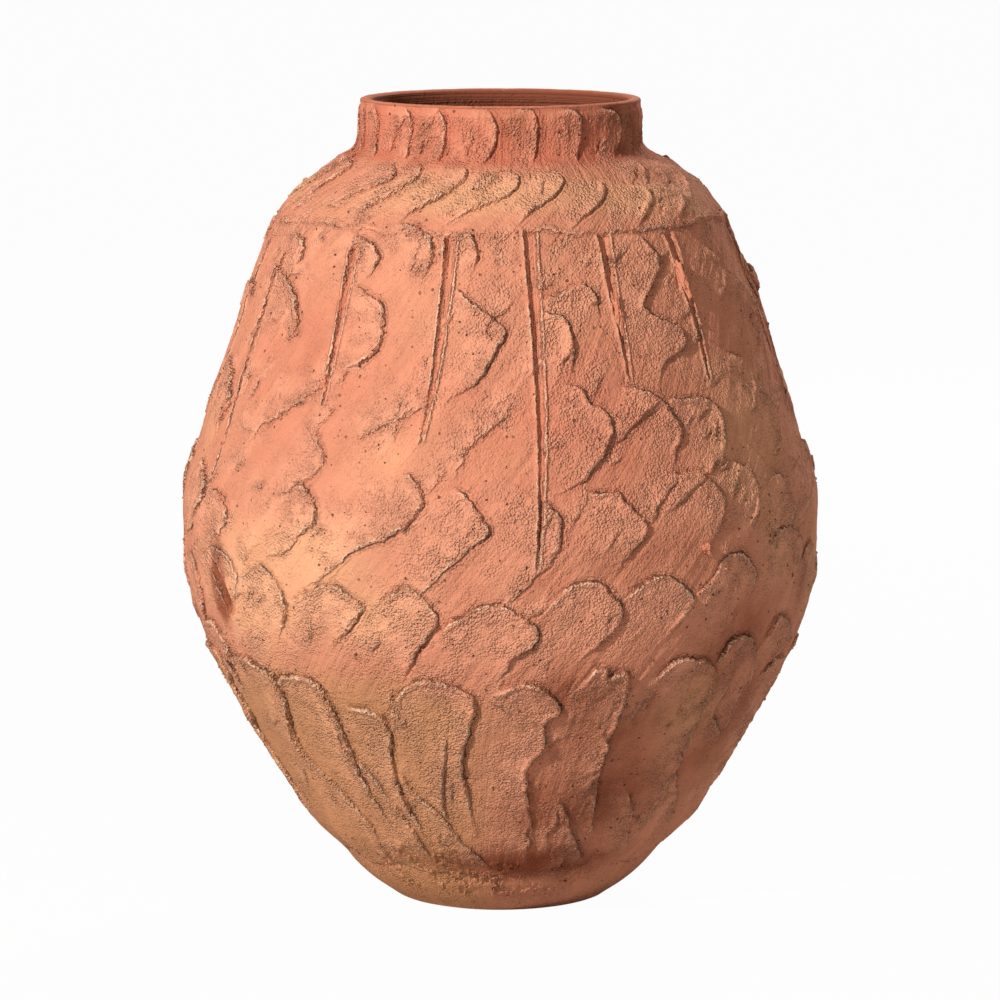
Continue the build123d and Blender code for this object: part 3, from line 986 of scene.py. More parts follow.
@dataclass
class RingShell:
    """A closed ring of clay: its dressed outside, its drawn inside and two joint faces.

    Args:
        wall: The wall's net.
        plan: Which ring this is.
        thickness: The wall's thickness, metres.
        mouth: The least inner radius.
        inner_rows: How many rows of cells its inside has.
        thinning: How many outside columns meet one inside column.
        sheets: In how many strips the ring lies on the bake map.
    """

    wall: Wall
    plan: ShellPlan
    thickness: float = 0.0215
    mouth: float = 0.1407
    inner_rows: int = 16
    thinning: int = 4
    sheets: int = 4

    def inner_line(self) -> tuple[np.ndarray, np.ndarray]:
        """The inner radii and heights of the ring, from its lower joint up."""
        first, last = self.wall.starts[self.plan.band], self.wall.starts[self.plan.band + 1]
        low, high = self.wall.height[first], self.wall.height[last]
        levels = np.linspace(low, high, self.inner_rows + 1)
        radii = np.maximum(self.wall.profile.radius(levels) - self.thickness, self.mouth)
        return radii, levels

    def make_mesh(self, place: np.ndarray, normal: np.ndarray) -> bpy.types.Mesh:
        """The ring's mesh.

        Args:
            place: The places of the whole net.
            normal: The outward normals of the whole net.

        Returns:
            A closed mesh with its faces outward, its own layout for baking and the wall's marks.
        """
        wall, count = self.wall, self.wall.columns
        first, last = wall.starts[self.plan.band], wall.starts[self.plan.band + 1]
        rows = last - first
        radii, levels = self.inner_line()
        few = count // self.thinning
        turns = wall.angles[:: self.thinning]
        inner = np.stack([np.outer(radii, np.cos(turns)), np.outer(radii, np.sin(turns)),
                          np.broadcast_to(levels[:, None], (len(radii), few))], axis=2)
        outer = place[first: last + 1]
        verts = np.concatenate([outer.reshape(-1, 3), inner.reshape(-1, 3)])
        shift = (rows + 1) * count

        quads_out = grid_faces(rows, count)
        quads_in = shift + grid_faces(self.inner_rows, few)[:, [1, 0, 3, 2]]
        faces: list[list[int]] = quads_out.tolist() + quads_in.tolist()
        uv = [self.sheet_corners(rows, count, 0.0, 0.2, False),
              self.sheet_corners(self.inner_rows, few, 0.8, 0.044, True)]
        for top in (False, True):
            ring_out = (rows * count if top else 0)
            ring_in = shift + (self.inner_rows * few if top else 0)
            level_v = 0.988 if top else 0.98
            fan, fan_uv = self.joint_face(ring_out, ring_in, few, count, top, level_v)
            faces += fan
            uv.append(np.array(fan_uv))
        mesh = bpy.data.meshes.new(self.plan.name)
        mesh.from_pydata(verts.tolist(), [], faces)
        layer = mesh.uv_layers.new(name="OFBake")
        layer.data.foreach_set("uv", np.concatenate(uv).ravel().astype(np.float32))
        self.write_marks(mesh, first, last, inner)
        self.shade(mesh, normal[first: last + 1], len(quads_out), len(quads_in))
        return mesh

    def sheet_uv(self, column: np.ndarray, row: np.ndarray, count: int, rows: int, base: float,
                 tall: float, owner: np.ndarray | None = None) -> tuple[np.ndarray, np.ndarray]:
        """Places a strip on the bake map as four shorter sheets, one above the other."""
        per = count // self.sheets
        sheet = (column if owner is None else owner) // per
        u = 0.004 + 0.992 * (column - sheet * per) / per
        v = base + sheet * tall + tall * 0.03 + tall * 0.9 * row / rows
        return u, v

    def sheet_corners(self, rows: int, count: int, base: float, tall: float, inward: bool) -> np.ndarray:
        """The corners of each cell of a strip on the bake map, in the order of its face.

        Args:
            rows: How many rows of cells the strip has.
            count: How many cells go round.
            base: How far up the map it starts.
            tall: How much of the map's height one sheet takes.
            inward: Whether its faces look at the jar's inside.

        Returns:
            Four places for each cell, one after the other.
        """
        row, column = np.meshgrid(np.arange(rows), np.arange(count), indexing="ij")
        left, low = self.sheet_uv(column, row, count, rows, base, tall)
        right, high = self.sheet_uv(column + 1, row + 1, count, rows, base, tall, column)
        if inward:
            left, right = right, left
        corners = ((left, low), (right, low), (right, high), (left, high))
        return np.stack([np.stack(corner, -1) for corner in corners], axis=2).reshape(-1, 2)

    def joint_face(self, ring_out: int, ring_in: int, few: int, count: int, top: bool,
                   level: float) -> tuple[list[list[int]], list[tuple[float, float]]]:
        """The flat face of one joint, from the outer edge to the inner one.

        Args:
            ring_out: The first outer vertex.
            ring_in: The first inner vertex.
            few: How many inner vertices there are.
            count: How many outer vertices there are.
            top: Whether it is the upper joint.
            level: Its place up the bake map.

        Returns:
            Its triangles and their places on the bake map.
        """
        faces, uv = [], []
        for j in range(few):
            inner_a, inner_b = ring_in + j, ring_in + (j + 1) % few
            for k in range(self.thinning):
                a = j * self.thinning + k
                outer_a, outer_b = ring_out + a, ring_out + (a + 1) % count
                near = inner_a if k < self.thinning // 2 else inner_b
                corners = [outer_a, outer_b, near] if top else [outer_b, outer_a, near]
                faces.append(corners)
                xs = (a / count, (a + 1) / count)
                xs = xs if top else (xs[1], xs[0])
                uv += [(xs[0], level), (xs[1], level), ((j + (k >= self.thinning // 2)) / few, level + 0.006)]
                if k == self.thinning // 2 - 1:
                    corners = [outer_b, inner_b, inner_a] if top else [inner_b, outer_b, inner_a]
                    faces.append(corners)
                    spots = [((a + 1) / count, level), ((j + 1) / few, level + 0.006),
                             (j / few, level + 0.006)]
                    uv += spots if top else [spots[1], spots[0], spots[2]]
        return faces, uv

    def write_marks(self, mesh: bpy.types.Mesh, first: int, last: int, inner: np.ndarray) -> None:
        """Gives the mesh the wall's marks, which its colours and fine relief follow."""
        plain = np.ones(inner.shape[0] * inner.shape[1])
        for name, values in self.wall.marks().items():
            rest = plain * INSIDE_MARKS.get(name, 0.0)
            write_mark(mesh, name, np.concatenate([values[first: last + 1].ravel(), rest]))
        outside = np.zeros((last - first + 1) * self.wall.columns)
        write_mark(mesh, "inside", np.concatenate([outside, plain]))
        along = self.wall.drag_place()[first: last + 1].reshape(-1, 3)
        write_drag(mesh, np.concatenate([along, inner.reshape(-1, 3)]))

    @staticmethod
    def shade(mesh: bpy.types.Mesh, normal: np.ndarray, outer: int, inner: int) -> None:
        """Shades the outside with the whole wall's normals, so that no joint shows as a line.

        Args:
            mesh: The ring's mesh.
            normal: The normals of its outside.
            outer: How many faces its outside has.
            inner: How many faces its inside has.
        """
        smooth = np.zeros(len(mesh.polygons), bool)
        smooth[: outer + inner] = True
        mesh.polygons.foreach_set("use_smooth", smooth)
        wear_normals(mesh, normal, 0, slice(0, outer))

    def build(self, place: np.ndarray, normal: np.ndarray) -> bpy.types.Object:
        """The ring as an object of the scene."""
        return add_object(self.plan.name, self.make_mesh(place, normal))


@dataclass
class RimLip:
    """The last coil: its outside is the wall's own skin, its lip and inside are drawn from a listed outline.

    Args:
        wall: The wall's net, whose highest band is the coil's outside.
        outline: The lip and inside as (radius, height), millimetres, from the outside in and down.
        name: The piece's name.
        band: The number of the coil's band.
        wobble: How far the lip wanders from a true round, millimetres.
        seed: The seed of its wandering.
        loose: How many points of the outline, from the first, wander fully.
        mouth: The least inner radius, metres.
        highest: The greatest height, millimetres.
        dark_rows: How many rows, from the last, have the inside's colour with its painted shade.
    """

    wall: Wall
    outline: Trace = (
        (156.2, 898.3), (155.0, 899.4), (153.0, 899.95), (149.5, 899.8), (146.2, 899.2), (143.4, 898.0),
        (141.7, 896.2), (141.0, 893.8), (140.8, 891.0), (140.8, 888.0),
    )
    name: str = "rim_lip"
    band: int = 8
    wobble: float = 0.45
    seed: int = 31
    loose: int = 6
    mouth: float = 0.1406
    highest: float = 899.98
    dark_rows: int = 5

    def build(self, place: np.ndarray, normal: np.ndarray) -> bpy.types.Object:
        """The coil as an object.

        Args:
            place: The places of the whole net.
            normal: The outward normals of the whole net.

        Returns:
            A closed ring.
        """
        wall, count = self.wall, self.wall.columns
        first, last = wall.starts[self.band], wall.starts[self.band + 1]
        rows = [place[index] for index in range(first, last + 1)]
        noise = ClayNoise(self.seed)
        wave = noise.field(wall.angles, np.full(count, 0.2), 24.0)
        wave = wave + 0.5 * noise.field(wall.angles, np.full(count, 0.4), 9.0)
        for step, (radius, level) in enumerate(self.outline):
            sway = self.wobble * wave * (1.0 if step < self.loose else 0.3)
            round_line = (radius + sway) * MM
            if step > self.loose:
                round_line = np.maximum(round_line, self.mouth)
            high = np.full(count, level * MM)
            if step < self.loose:
                high = np.minimum(level + 0.5 * sway, self.highest) * MM
            rows.append(np.stack([round_line * np.cos(wall.angles), round_line * np.sin(wall.angles),
                                  np.broadcast_to(high, (count,))], axis=1))
        total = len(rows)
        verts = np.concatenate(rows)
        quads = grid_faces(total, count, closed=True)
        mesh = bpy.data.meshes.new(self.name)
        mesh.from_pydata(verts.tolist(), [], quads.tolist())
        smooth = np.ones(len(mesh.polygons), bool)
        smooth[-count:] = False
        mesh.polygons.foreach_set("use_smooth", smooth)
        wear_normals(mesh, normal[first: last + 1], 0, slice(0, (last - first) * count))
        self.write_marks(mesh, first, last, total)
        return add_object(self.name, mesh)

    def write_marks(self, mesh: bpy.types.Mesh, first: int, last: int, total: int) -> None:
        """Gives the coil the wall's marks on its outside, and plain values on its lip."""
        count, skin = self.wall.columns, (last - first + 1) * self.wall.columns
        for name, values in self.wall.marks().items():
            data = np.full(total * count, LIP_MARKS.get(name, 0.0))
            data[:skin] = values[first: last + 1].ravel()
            write_mark(mesh, name, data)
        inside = np.zeros((total, count))
        inside[-self.dark_rows:] = 1.0
        inside[-self.dark_rows - 1] = 0.5
        write_mark(mesh, "inside", inside.ravel())
        spots = np.zeros(total * count * 3, np.float32)
        mesh.vertices.foreach_get("co", spots)
        spots[: skin * 3] = self.wall.drag_place()[first: last + 1].ravel()
        write_drag(mesh, spots)


@dataclass
class FootSlab:
    """The floor of the jar: the foot's turned skin, its underside and its inner face.

    Args:
        wall: The wall's net, whose lowest band is the foot's skin.
        name: The piece's name.
        shares: How far out the rings of the two flat faces lie, from the edge in.
        sag: How far the underside is drawn up towards its middle, millimetres.
    """

    wall: Wall
    name: str = "foot_slab"
    shares: tuple[float, ...] = (0.965, 0.8, 0.5, 0.22)
    sag: float = 2.2

    def build(self, place: np.ndarray, normal: np.ndarray) -> bpy.types.Object:
        """The foot as an object.

        Args:
            place: The places of the whole net.
            normal: The outward normals of the whole net.

        Returns:
            A closed piece.
        """
        count, rows = self.wall.columns, self.wall.starts[1]
        skin = place[: rows + 1]
        rings = [skin[index] for index in range(rows + 1)]
        for share in self.shares:
            ring = skin[rows].copy()
            ring[:, :2] *= share
            ring[:, 2] = ring[:, 2].mean()
            rings.append(ring)
        under = []
        for share in self.shares:
            ring = skin[0].copy()
            ring[:, :2] *= share
            ring[:, 2] = self.sag * MM * (1 - share) ** 0.7 * (0.0 if share > 0.9 else 1.0)
            under.append(ring)
        rings = under[::-1] + rings
        verts = np.concatenate(rings)
        quads = grid_faces(len(rings) - 1, count)
        top, low = len(verts), len(verts) + 1
        centre = [[0.0, 0.0, float(rings[-1][0, 2])], [0.0, 0.0, self.sag * MM]]
        last = (len(rings) - 1) * count
        caps = [[last + j, last + (j + 1) % count, top] for j in range(count)]
        caps += [[(j + 1) % count, j, low] for j in range(count)]
        mesh = bpy.data.meshes.new(self.name)
        mesh.from_pydata(verts.tolist() + centre, [], quads.tolist() + caps)
        smooth = np.zeros(len(mesh.polygons), bool)
        first = len(self.shares)
        skin_faces = slice(first * count, (first + rows) * count)
        smooth[skin_faces] = True
        mesh.polygons.foreach_set("use_smooth", smooth)
        wear_normals(mesh, normal[: rows + 1], first * count, skin_faces)
        self.write_marks(mesh, first, rows, len(verts) + 2)
        return add_object(self.name, mesh)

    def write_marks(self, mesh: bpy.types.Mesh, first: int, rows: int, total: int) -> None:
        """Gives the foot the wall's marks on its skin, and plain values elsewhere."""
        count = self.wall.columns
        skin = slice(first * count, (first + rows + 1) * count)
        for name, values in self.wall.marks().items():
            data = np.full(total, SLAB_MARKS.get(name, 0.0))
            data[skin] = values[: rows + 1].ravel()
            write_mark(mesh, name, data)
        write_mark(mesh, "inside", np.zeros(total))
        spots = np.zeros(total * 3, np.float32)
        mesh.vertices.foreach_get("co", spots)
        spots[skin.start * 3: skin.stop * 3] = self.wall.drag_place()[: rows + 1].ravel()
        write_drag(mesh, spots)


@dataclass(frozen=True)
class GrooveClay:
    """A lump of clay pushed down a groove and left there.

    Args:
        name: The piece's name.
        spot: Its middle, in pixels of the photograph.
        long: Its length down the groove, millimetres.
        wide: Its width.
        thick: How far it stands out of the wall's bare line.
        lean: How far its lower end lies to the right of its upper end.
        seed: The seed of its lumps.
        probe: How far up the wall its slope is taken, metres.
    """

    name: str
    spot: tuple[float, float]
    long: float
    wide: float
    thick: float
    lean: float
    seed: int
    probe: float = 0.01

    def build(self, wall: Wall) -> bpy.types.Object:
        """The lump as an object, pressed on to the wall.

        Args:
            wall: The wall's net.

        Returns:
            A closed, uneven pebble of clay.
        """
        middle = wall.view.on_wall((self.spot,), wall.profile)[0]
        height = float(wall.profile.height(middle[1]))
        radius = float(wall.profile.radius(np.array([height]))[0])
        above = float(wall.profile.radius(np.array([height + self.probe]))[0])
        rise = Vector((above - radius, 0, self.probe)).normalized()
        around = Vector((-math.sin(middle[0]), math.cos(middle[0]), 0))
        outward_flat = Vector((math.cos(middle[0]), math.sin(middle[0]), 0))
        up = outward_flat * rise.x + Vector((0, 0, rise.z))
        out = around.cross(up).normalized()
        centre = outward_flat * radius + Vector((0, 0, height))
        kit = bmesh.new()
        bmesh.ops.create_icosphere(kit, subdivisions=5, radius=1.0)
        chance = np.random.default_rng(self.seed)
        waves = [(chance.normal(0, 1, 3) * scale, chance.uniform(0, FULL_TURN), size)
                 for scale, size in ((2.2, 0.10), (4.5, 0.07), (9.0, 0.045), (17.0, 0.028)) for _ in range(5)]
        for vert in kit.verts:
            direction = np.array(vert.co)
            swell = 1 + sum(size * math.sin(float(direction @ wave) + phase) for wave, phase, size in waves)
            x, y, z = direction * swell
            x += self.lean / self.wide * -y
            vert.co = centre + (around * (x * self.wide / 2) + up * (y * self.long / 2)
                                + out * (z * self.thick)) * MM
        mesh = bpy.data.meshes.new(self.name)
        kit.to_mesh(mesh)
        kit.free()
        mesh.polygons.foreach_set("use_smooth", np.ones(len(mesh.polygons), bool))
        return add_object(self.name, mesh)


class NodeTree:
    """A short way to build a tree of nodes and join them."""

    def __init__(self, tree: bpy.types.NodeTree) -> None:
        """Starts on an empty tree."""
        self.tree = tree
        self.tree.nodes.clear()

    def add(self, kind: str, settings: dict[str, object] | None = None,
            **inputs: object) -> bpy.types.Node:
        """Adds a node.

        Args:
            kind: The node's type.
            settings: Its properties by name.
            inputs: Its inputs by name with _ for a space, each a value or another node's output.

        Returns:
            The node.
        """
        node = self.tree.nodes.new(kind)
        for name, value in (settings or {}).items():
            setattr(node, name, value)
        for name, value in inputs.items():
            label = name.replace("_", " ")
            numbered = label[0] == "i" and label[1:].isdigit()
            socket = node.inputs[int(label[1:]) if numbered else label]
            if isinstance(value, bpy.types.NodeSocket):
                self.tree.links.new(value, socket)
            else:
                socket.default_value = value
        return node

    def math(self, kind: str, *values: object, clamp: bool = False) -> bpy.types.NodeSocket:
        """A sum, product or other step between numbers."""
        inputs = {f"i{index}": value for index, value in enumerate(values)}
        node = self.add("ShaderNodeMath", {"operation": kind, "use_clamp": clamp}, **inputs)
        return node.outputs[0]

    def remap(self, value: object, low: float, high: float, to_low: float = 0.0,
              to_high: float = 1.0, smooth: bool = True) -> bpy.types.NodeSocket:
        """Carries a number from one range to another, held at its ends."""
        kind = "SMOOTHSTEP" if smooth else "LINEAR"
        node = self.add("ShaderNodeMapRange", {"interpolation_type": kind}, i0=value, i1=low, i2=high,
                        i3=to_low, i4=to_high)
        return node.outputs[0]

    def mix(self, share: object, first: object, second: object, blend: str = "MIX") -> bpy.types.NodeSocket:
        """Mixes two colours."""
        node = self.add("ShaderNodeMix", {"data_type": "RGBA", "blend_type": blend})
        for index, value in ((0, share), (6, first), (7, second)):
            if isinstance(value, bpy.types.NodeSocket):
                self.tree.links.new(value, node.inputs[index])
            else:
                node.inputs[index].default_value = value
        return node.outputs[2]

    def noise(self, vector: object, scale: float, detail: float = 2.0,
              rough: float = 0.5) -> bpy.types.NodeSocket:
        """Even noise of a given scale, its waves per metre."""
        node = self.add("ShaderNodeTexNoise", Vector=vector, Scale=scale, Detail=detail, Roughness=rough)
        return node.outputs["Fac"]


def linear(colour: tuple[int, int, int]) -> tuple[float, float, float, float]:
    """A colour given 0 to 255, as the shader's own numbers."""
    shares = [c / 255 for c in colour]
    return tuple(s / 12.92 if s <= 0.04045 else ((s + 0.055) / 1.055) ** 2.4 for s in shares) + (1.0,)


@dataclass(frozen=True)
class FiringColours:
    """The colours that the kiln left on the clay, with the painted shade of pits, cracks and the inside and
    the painted highlight of crests.
    """

    buff: tuple[int, int, int] = (236, 172, 130)
    tan: tuple[int, int, int] = (212, 152, 108)
    red: tuple[int, int, int] = (150, 78, 50)
    blush: tuple[int, int, int] = (212, 126, 98)
    pad: tuple[int, int, int] = (243, 170, 136)
    # Painted shade: the dark of the pits and of the cracks below the torn edges, where the cracks are partly
    # real.
    shade: tuple[int, int, int] = (70, 26, 14)
    # Painted highlight on the crests of the torn edges.
    crest_highlight: tuple[int, int, int] = (250, 206, 172)
    smear: tuple[int, int, int] = (222, 200, 192)
    # Painted shade of the jar's inside, under the mouth.
    throat_shade: tuple[int, int, int] = (122, 62, 42)


class ClayGroups:
    """The shader groups that every clay finish shares."""

    def __init__(self) -> None:
        """Builds each group once."""
        self.grain = self.make_grain()
        self.torn_edge = self.make_torn_edge()
        self.drag_marks = self.make_drag_marks()
        self.firing = self.make_firing()

    @staticmethod
    def new_group(name: str, inputs: dict[str, str], outputs: dict[str, str]) -> tuple[
            bpy.types.NodeTree, NodeTree, bpy.types.Node, bpy.types.Node]:
        """An empty group with named sockets.

        Args:
            name: The group's name.
            inputs: Socket names with their types.
            outputs: Socket names with their types.

        Returns:
            The group, its builder, its input node and its output node.
        """
        group = bpy.data.node_groups.new(name, "ShaderNodeTree")
        for label, kind in inputs.items():
            group.interface.new_socket(label, in_out="INPUT", socket_type=kind)
        for label, kind in outputs.items():
            group.interface.new_socket(label, in_out="OUTPUT", socket_type=kind)
        tree = NodeTree(group)
        return group, tree, tree.add("NodeGroupInput"), tree.add("NodeGroupOutput")

    def make_grain(self) -> bpy.types.NodeTree:
        """Grit and pits of coarse clay: a height, the pits' mask for their painted shade and a light and dark
        speckle.
        """
        group, tree, source, sink = self.new_group(
            "clay_grain", {"Place": "NodeSocketVector", "Grit": "NodeSocketFloat"},
            {"Height": "NodeSocketFloat", "PitShade": "NodeSocketFloat", "Speckle": "NodeSocketFloat"})
        place, grit = source.outputs["Place"], source.outputs["Grit"]
        coarse = tree.math("SUBTRACT", tree.noise(place, 330, 1.0, 0.6), 0.5)
        skin = tree.math("SUBTRACT", tree.noise(place, 110, 1.0, 0.5), 0.5)
        stones = tree.add("ShaderNodeTexVoronoi", {"feature": "F1"}, Vector=place, Scale=400.0)
        stone = tree.math("SUBTRACT", 0.45, stones.outputs["Distance"])
        where = tree.remap(tree.noise(place, 40, 2.0, 0.6), 0.36, 0.6)
        amount = tree.math("MULTIPLY", tree.math("MULTIPLY_ADD", where, 0.65, 0.35), grit)
        grains = tree.math("MULTIPLY", coarse, 1.5)
        grains = tree.math("MULTIPLY_ADD", stone, 1.5, grains)
        rough = tree.math("MULTIPLY", grains, amount)
        cells = tree.add("ShaderNodeTexVoronoi", {"feature": "F1"}, Vector=place, Scale=140.0)
        chance = tree.add("ShaderNodeSeparateColor", Color=cells.outputs["Color"])
        size = tree.remap(chance.outputs[0], 0.74, 1.0, 0.05, 0.25, False)
        crooked = tree.math("MULTIPLY_ADD", coarse, 0.35, cells.outputs["Distance"])
        depth = tree.math("DIVIDE", crooked, tree.math("ADD", size, 0.001))
        hole = tree.math("SUBTRACT", 1.0, depth, clamp=True)
        pits = tree.math("MULTIPLY", tree.remap(hole, 0.0, 0.4), tree.remap(grit, 0.1, 0.7, 0.45, 1.0))
        height = tree.math("MULTIPLY_ADD", skin, 0.7, rough)
        height = tree.math("SUBTRACT", height, tree.math("MULTIPLY", pits, 2.4))
        tree.tree.links.new(height, sink.inputs["Height"])
        tree.tree.links.new(pits, sink.inputs["PitShade"])
        tree.tree.links.new(rough, sink.inputs["Speckle"])
        return group

    def make_torn_edge(self) -> bpy.types.NodeTree:
        """The crisp torn edge of a dab: a step, the dark crack below it, which also sets its painted shadow,
        and its pale raised crest, which also sets its painted highlight.
        """
        group, tree, source, sink = self.new_group(
            "torn_edge",
            {"Place": "NodeSocketVector", "Distance": "NodeSocketFloat", "Strength": "NodeSocketFloat"},
            {"Height": "NodeSocketFloat", "CrackAndShade": "NodeSocketFloat", "Crest": "NodeSocketFloat"})
        place, strength = source.outputs["Place"], source.outputs["Strength"]
        ragged = tree.math("SUBTRACT", tree.noise(place, 150, 3.0, 0.68), 0.5)
        distance = tree.math("MULTIPLY_ADD", ragged, 8.0, source.outputs["Distance"])
        step = tree.remap(distance, -0.8, 0.4)
        broken = tree.remap(tree.noise(place, 42, 2.0, 0.65), 0.36, 0.62, 0.0, 1.0)
        below = tree.math("MULTIPLY", tree.remap(distance, -2.0, -1.2), tree.remap(distance, 0.1, -0.4))
        crest = tree.math("MULTIPLY", tree.remap(distance, 0.3, 0.9), tree.remap(distance, 3.8, 2.0))
        force = tree.math("MULTIPLY", strength, broken)
        tree.tree.links.new(tree.math("MULTIPLY", step, strength), sink.inputs["Height"])
        tree.tree.links.new(tree.math("MULTIPLY", below, force), sink.inputs["CrackAndShade"])
        tree.tree.links.new(tree.math("MULTIPLY", crest, force), sink.inputs["Crest"])
        return group

    def make_drag_marks(self) -> bpy.types.NodeTree:
        """Fine streaks along the way that the hand went: a height and a tone."""
        group, tree, source, sink = self.new_group(
            "drag_marks", {"Along": "NodeSocketVector", "Amount": "NodeSocketFloat"},
            {"Height": "NodeSocketFloat", "Tone": "NodeSocketFloat"})
        wide = tree.noise(source.outputs["Along"], 190, 1.0, 0.6)
        thin = tree.noise(source.outputs["Along"], 430, 1.0, 0.6)
        both = tree.math("ADD", wide, tree.math("MULTIPLY", thin, 0.6))
        both = tree.math("SUBTRACT", both, 0.8)
        streaks = tree.math("MULTIPLY", both, source.outputs["Amount"])
        tone = tree.math("SUBTRACT", tree.noise(source.outputs["Along"], 34, 3.0, 0.6), 0.5)
        tree.tree.links.new(streaks, sink.inputs["Height"])
        tree.tree.links.new(tone, sink.inputs["Tone"])
        return group

    def make_firing(self) -> bpy.types.NodeTree:
        """The fired colour from the four blooms and the clay's own colour."""
        group, tree, source, sink = self.new_group(
            "firing_bloom",
            {"Place": "NodeSocketVector", "Clay": "NodeSocketColor", "Buff": "NodeSocketFloat",
             "Tan": "NodeSocketFloat", "Red": "NodeSocketFloat", "Blush": "NodeSocketFloat"},
            {"Color": "NodeSocketColor"})
        colours = FiringColours()
        cloud = tree.math("SUBTRACT", tree.noise(source.outputs["Place"], 14, 4.0, 0.6), 0.5)
        colour = source.outputs["Clay"]
        for name, tint in (("Blush", colours.blush), ("Buff", colours.buff), ("Tan", colours.tan),
                           ("Red", colours.red)):
            share = tree.math("MULTIPLY_ADD", cloud, 0.7, source.outputs[name])
            there = tree.remap(source.outputs[name], 0.02, 0.2)
            share = tree.math("MULTIPLY", tree.remap(share, 0.12, 0.85), there)
            colour = tree.mix(share, colour, linear(tint))
        tree.tree.links.new(colour, sink.inputs["Color"])
        return group


@dataclass(frozen=True)
class ClayDetail:
    """How strongly the marks show in the clay: shares of their colours, and millimetres of height."""

    pad: float = 0.34
    smear: float = 0.34
    # Share of the painted highlight on the edges' crests.
    crest: float = 0.78
    # Share of the painted shade in the pits.
    pits: float = 0.75
    # Share of the painted shadow below the edges, over a crack that is partly real.
    crack: float = 0.7
    # Share of the painted shade on the inside.
    throat_shade: float = 0.85
    thrown_tone: float = 1.6
    step_height: float = 2.1
    crack_depth: float = 0.9
    crest_height: float = 1.4
    drag_depth: float = 0.95
    thrown_depth: float = 5.0


